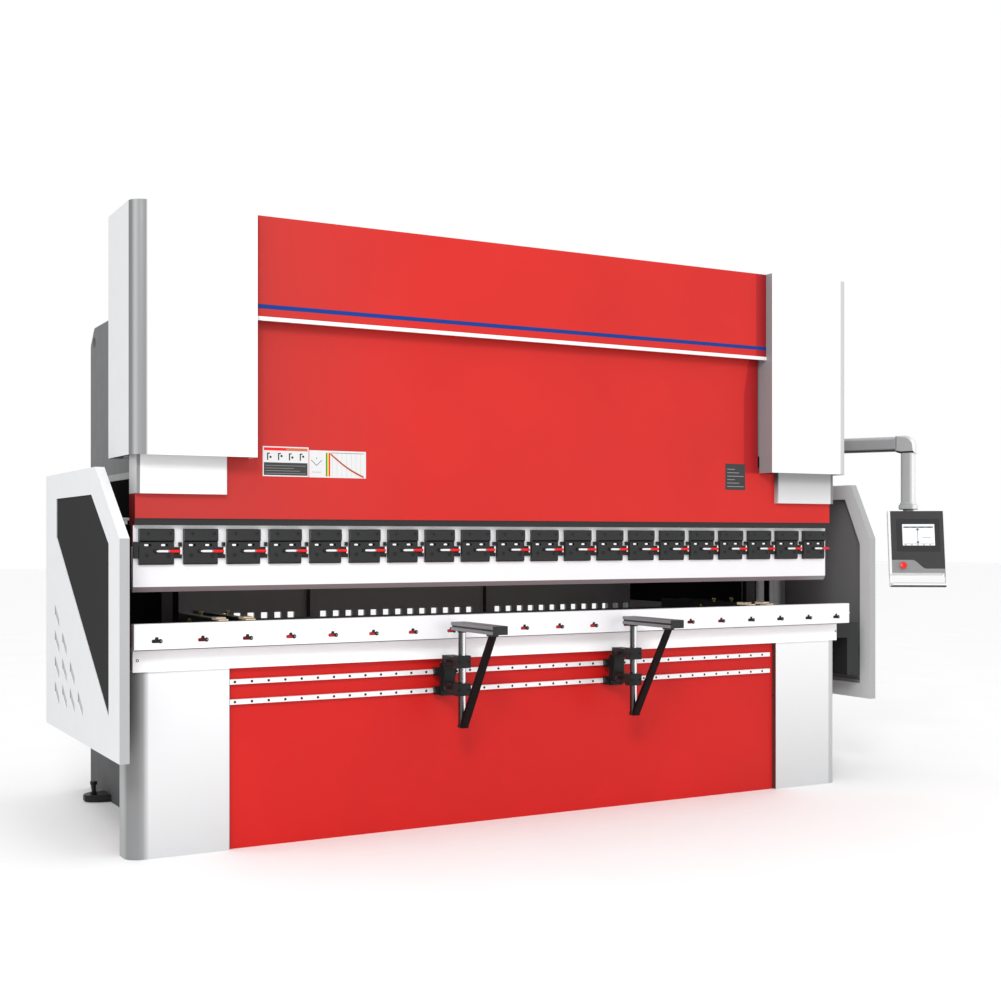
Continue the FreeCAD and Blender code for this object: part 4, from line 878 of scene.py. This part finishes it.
def build_carriage(name, body):
    corner, far_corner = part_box("carriage_" + name)
    x = (corner.x + far_corner.x) / 2
    tip = corner.y
    dark = Gather()
    for low in JAW_LEVELS:
        dark.block((x - 0.0012, x + 0.0012), (tip - 0.0006, tip + 0.001), (low, low + JAW_TALL),
                   DARK, 0.0003)
        for dx in (-0.026, 0.026):
            socket_screw(dark, (x + dx, tip, low + JAW_TALL / 2), 1, -1, 0.006, 0.004, BLACK,
                         DARK)
    for z in (0.820, 0.689):
        dark.lathe([(0.006, 0.0), (0.006, -0.010), (0.011, -0.012), (0.012, -0.020),
                    (0.009, -0.023)], (x - 0.030, -0.190, z), 0, BLACK, 20)
    for level in RAIL_LEVELS:
        for side in (-1, 1):
            edge = x + side * 0.0515
            ends = [(edge, level - 0.0195), (edge + side * 0.004, level - 0.0195),
                    (edge + side * 0.010, level + 0.0195), (edge, level + 0.0195)]
            dark.prism(ends, 1, -0.1005, -0.0785, DARK, 0.001)
            dark.lathe([(0.004, 0), (0.006, side * 0.002), (0.006, side * 0.008),
                        (0.003, side * 0.010)], (edge, -0.107, level), 0, BLACK, 16)
    for dx in (-0.028, 0.028):
        for z in (0.652, 0.796):
            socket_screw(dark, (x + dx, -0.1193, z), 1, -1, 0.005, 0.004, BLACK, DARK)
    dark.make("carriage_fittings_" + name, body)


build_carriage("left", "carriage_a")
build_carriage("right", "carriage_b")


# Swing arm in its own axes: Y along the tube, Z up, origin at the swing pin
def round_box(u, v, half_u, half_v, radius, steps=5):
    points = []
    for turn_count, (su, sv) in enumerate(((1, 1), (-1, 1), (-1, -1), (1, -1))):
        for step in range(steps):
            angle = math.pi / 2 * (turn_count + step / (steps - 1))
            points.append((u + su * (half_u - radius) + radius * math.cos(angle),
                           v + sv * (half_v - radius) + radius * math.sin(angle)))
    return points


SWING_PIN = (1.872, 1.586, 1.940)
SWING_TURN = math.radians(30)
REACH = 1.749
TUBE_HALF = 0.040
TUBE_TALL = 0.090
ELBOW_HALF = 0.046
ELBOW_TOP = 0.094
ELBOW_ROUND = 0.062
ELBOW_END = 0.070
ELBOW_FOOT = -0.013
HUB_BORE = 0.0232
HUB_ROUND = 0.060
HUB_CORNER = 0.002
swing = Matrix.Translation(SWING_PIN) @ Matrix.Rotation(SWING_TURN, 4, "Z")
arm = Gather()
arm.turn = swing
arm.prism(round_box(0, TUBE_TALL / 2, TUBE_HALF, TUBE_TALL / 2, 0.021), 1,
          -REACH + ELBOW_END + 0.001, -0.048, ARM)
arm.prism(round_box(0, -REACH, TUBE_HALF, TUBE_HALF, 0.020), 2, -0.320, -0.012, DROP)
back = -REACH - ELBOW_HALF
bend = [(back + ELBOW_ROUND - ELBOW_ROUND * math.sin(a),
         ELBOW_TOP - ELBOW_ROUND + ELBOW_ROUND * math.cos(a))
        for a in [math.pi / 2 * k / 10 for k in range(11)]]
arm.prism([(-REACH + ELBOW_END, -0.004), (-REACH + ELBOW_END, ELBOW_TOP)] + bend +
          [(back, ELBOW_FOOT), (-REACH + ELBOW_HALF, ELBOW_FOOT)],
          0, -ELBOW_HALF, ELBOW_HALF, DROP, 0.014)
arm.prism(round_box(0, -REACH, 0.050, 0.050, 0.016), 2, -0.357, -0.328, DROP, 0.004)
arm.prism(round_box(0, -REACH, 0.044, 0.044, 0.018), 2, -0.330, -0.316, DROP, 0.003)
arm.lathe([(HUB_BORE, 0.0), (HUB_ROUND - HUB_CORNER, 0.0), (HUB_ROUND, HUB_CORNER),
           (HUB_ROUND, TUBE_TALL - HUB_CORNER), (HUB_ROUND - HUB_CORNER, TUBE_TALL),
           (HUB_BORE, TUBE_TALL), (HUB_BORE, 0.0)], (0, 0, 0), 2, ARM, 32, capped=False)
arm_piece = arm.make("arm_tubes", "swing_arm")
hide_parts("pendant_arm")


# Control pendant in its own axes: X across, Y to the back, Z up, origin at the neck.
# Its turn is about Z, and the neck takes only that; the box, face and screen lean back too
NECK_LEVEL = 1.559
PENDANT_TURN = math.radians(-36)
PENDANT_LEAN = math.radians(-13)
pivot = Vector((SWING_PIN[0] + REACH * math.sin(SWING_TURN),
                SWING_PIN[1] - REACH * math.cos(SWING_TURN), NECK_LEVEL))
turn = Matrix.Translation(pivot) @ Matrix.Rotation(PENDANT_TURN, 4, "Z")
lean = turn @ Matrix.Rotation(PENDANT_LEAN, 4, "X")
shell = Gather()
shell.turn = lean
front = -0.060
middle = 0.032
half = 0.1645
left = middle - half
right = middle + half
inner_left = left + 0.0145
inner_right = right - 0.0035
lip = front - 0.003
handle_back = front + 0.026
handle_low = -0.465
shell.block((inner_left - 0.001, inner_right - 0.0005), (front + 0.003, 0.021), (-0.383, 0.0),
            SHELL, 0.006)
for edges in ((left, inner_left), (inner_right, right)):
    shell.block(edges, (lip, front + 0.040), (-0.400, 0.003), SHELL, 0.0015)
    shell.block(edges, (lip, handle_back), (handle_low, -0.390), SHELL, 0.0015)
shell.block((left, right), (lip, handle_back), (-0.460, -0.443), SHELL, 0.003)
shell.block((left + 0.002, right), (lip - 0.0002, handle_back - 0.002),
            (handle_low - 0.0005, -0.4585), DARK, 0.0015)
shell.block((inner_left, inner_right), (lip - 0.0003, front + 0.004), (-0.4450, -0.4430),
            BAND, 0.0004)
shell.block((middle - 0.12, middle + 0.12), (0.022, 0.0255), (-0.34, -0.05), SHELL, 0.0015)
for dx in (-0.105, 0.105):
    for z in (-0.065, -0.325):
        socket_screw(shell, (middle + dx, 0.0255, z), 1, 1, 0.005, 0.002, BLACK, DARK)
pendant_piece = shell.make("pendant_shell", "pendant")
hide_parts("pendant_box")
neck = Gather()
neck.turn = turn
neck.lathe([(0.032, -0.03), (0.032, 0.0237)], (0, 0, 0), 2, ARM, 32)
neck.make("pendant_neck", "pendant")
panel = Gather()
panel.turn = lean
panel.block((inner_left, inner_right), (front - 0.001, front + 0.004), (-0.381, 0.001),
            PANEL, 0.0008)
face = middle + 0.011
panel.block((face - 0.126, face + 0.126), (front - 0.003, front), (-0.250, -0.050), BEZEL,
            0.0012)
wave = [(inner_left, -0.3815), (inner_right, -0.3815), (inner_right, -0.3565)]
for step in range(13):
    t = step / 12
    smooth = t * t * (3 - 2 * t)
    wave.append((middle + 0.052 - 0.082 * t, -0.3565 + 0.0535 * smooth))
wave.append((inner_left, -0.303))
panel.prism(wave, 1, front - 0.0022, front, BAND)
panel.make("pendant_face", "pendant")
screen = Gather()
screen.turn = lean
face = middle + 0.0125
top = -0.082
screen.block((face - 0.0945, face + 0.0945), (front - 0.0036, front - 0.002), (top - 0.132, top),
             SCREEN, 0.0004)
depth = (front - 0.0042, front - 0.003)
screen.block((face - 0.088, face + 0.088), depth, (top - 0.024, top - 0.014), BAND, 0.0002)
for index in range(4):
    x = face - 0.084 + 0.045 * index
    screen.block((x, x + 0.026), depth, (top - 0.0225, top - 0.0155), INK, 0.0002)
screen.block((face - 0.090, face + 0.090), depth, (top - 0.121, top - 0.1195), BAND, 0.0002)
for drop in (0.033, 0.112):
    screen.lathe([(0.0075, 0), (0.0075, -0.0042), (0.005, -0.0043)],
                 (face - 0.005, front, top - drop), 1, INK, 14)
screen.block((face - 0.0065, face - 0.0035), depth, (top - 0.108, top - 0.038), INK, 0.0002)
screen.block((face + 0.022, face + 0.070), depth, (top - 0.083, top - 0.080), INK, 0.0002)
for index in range(5):
    x = face - 0.085 + 0.036 * index
    screen.block((x, x + 0.014), depth, (top - 0.130, top - 0.1255), BAND, 0.0002)
screen.make("pendant_screen", "pendant")
stop = Gather()
stop.turn = lean
centre = (middle - 0.086, front, -0.340)
stop.lathe([(0.024, 0.0), (0.024, -0.003), (0.020, -0.005)], centre, 1, BAND, 28)
stop.lathe([(0.013, -0.003), (0.013, -0.014), (0.0195, -0.016), (0.0203, -0.021),
            (0.0185, -0.0245), (0.012, -0.0258), (0.002, -0.026)], centre, 1, GRIP, 32)
stop.make("stop_button", "pendant")


# Latches on the rear panels' posts
latch = Gather()
for x in PANEL_POSTS:
    for z in (1.30, 0.62):
        latch.block((x - 0.028, x + 0.028), (1.512, 1.526), (z, z + 0.075), BLACK, 0.003)
        latch.block((x - 0.028, x + 0.028), (1.568, 1.580), (z, z + 0.075), BLACK, 0.003)
        latch.lathe([(0.012, 0), (0.012, 0.010), (0.008, 0.012)], (x, 1.580, z + 0.037), 1,
                    CHROME, 20)
latch.make("panel_latches", "base")

# Rear feet: rounded lug, pad and levelling bolt, in place of the CAD solids
FOOT_BOLT = 1.8488
for name, side in (("left", -1), ("right", 1)):
    corner, far_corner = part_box("rear_foot_" + name)
    inner = min(abs(corner.x), abs(far_corner.x)) * side
    outer = max(abs(corner.x), abs(far_corner.x)) * side
    middle_x, middle_y = side * FOOT_BOLT, (corner.y + far_corner.y) / 2
    wide = (far_corner.y - corner.y) / 2
    foot = Gather()
    outline = [(inner, middle_y - wide), (outer - side * 0.050, middle_y - wide + 0.020),
               (outer - side * 0.014, middle_y - wide + 0.040), (outer, middle_y - 0.014),
               (outer, middle_y + 0.022), (outer - side * 0.012, middle_y + wide - 0.030),
               (outer - side * 0.045, middle_y + wide), (inner, middle_y + wide)]
    foot.prism(outline, 2, 0.004, 0.038, BLACK, 0.004)
    foot.lathe([(0.026, 0.0), (0.030, 0.001), (0.030, 0.006)], (middle_x, middle_y, 0), 2,
               BLACK, 28)
    foot.lathe([(0.012, 0.037), (0.017, 0.038), (0.017, 0.048), (0.012, 0.049)],
               (middle_x, middle_y, 0), 2, BLACK, 6)
    foot.lathe([(0.0115, 0.037), (0.0115, 0.092)], (middle_x, middle_y, 0), 2, BLACK, 20)
    foot.lathe([(0.0170, 0.088), (0.0185, 0.090), (0.0185, 0.104), (0.0170, 0.106)],
               (middle_x, middle_y, 0), 2, BLACK, 20)
    foot_piece = foot.make("foot_parts_" + name, "base")
    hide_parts("rear_foot_" + name)


# Camera, floor and light

CAMERA_TURN = math.radians(-28.955)
LEVEL_VIEW = math.radians(90)
camera = bpy.data.objects.new("camera", bpy.data.cameras.new("camera"))
bpy.context.collection.objects.link(camera)
camera.location = (-3.548, -6.157, 1.407)
camera.rotation_euler = (LEVEL_VIEW, 0, CAMERA_TURN)
camera.data.lens = 50
camera.data.sensor_width = 36
camera.data.shift_y = 0.0379
bpy.context.scene.camera = camera

FLOOR_HALF = 60
floor_mesh = bpy.data.meshes.new("floor")
floor_mesh.from_pydata([(-FLOOR_HALF, -FLOOR_HALF, 0), (FLOOR_HALF, -FLOOR_HALF, 0),
                        (FLOOR_HALF, FLOOR_HALF, 0), (-FLOOR_HALF, FLOOR_HALF, 0)],
                       [], [(0, 1, 2, 3)])
floor = bpy.data.objects.new("floor", floor_mesh)
bpy.context.collection.objects.link(floor)
floor_mesh.materials.append(powder_coat("floor_pale", (0.95, 0.95, 0.95), 0.8, drift=0.01))

world = bpy.data.worlds.new("studio")
world.use_nodes = True
world.node_tree.nodes["Background"].inputs["Color"].default_value = (1, 1, 1, 1)
world.node_tree.nodes["Background"].inputs["Strength"].default_value = 1.0
bpy.context.scene.world = world


def area_light(name, place, target, size, power):
    data = bpy.data.lights.new(name, "AREA")
    data.shape = "RECTANGLE"
    data.size, data.size_y = size
    data.energy = power
    lamp = bpy.data.objects.new(name, data)
    bpy.context.collection.objects.link(lamp)
    lamp.location = place
    aim = Vector(target) - Vector(place)
    lamp.rotation_euler = aim.to_track_quat("-Z", "Y").to_euler()


area_light("key_front", place=(-5.5, -8.5, 6.5), target=(0, 0, 1.4), size=(2.5, 2.5), power=500)

bpy.context.scene.view_settings.view_transform = "Standard"
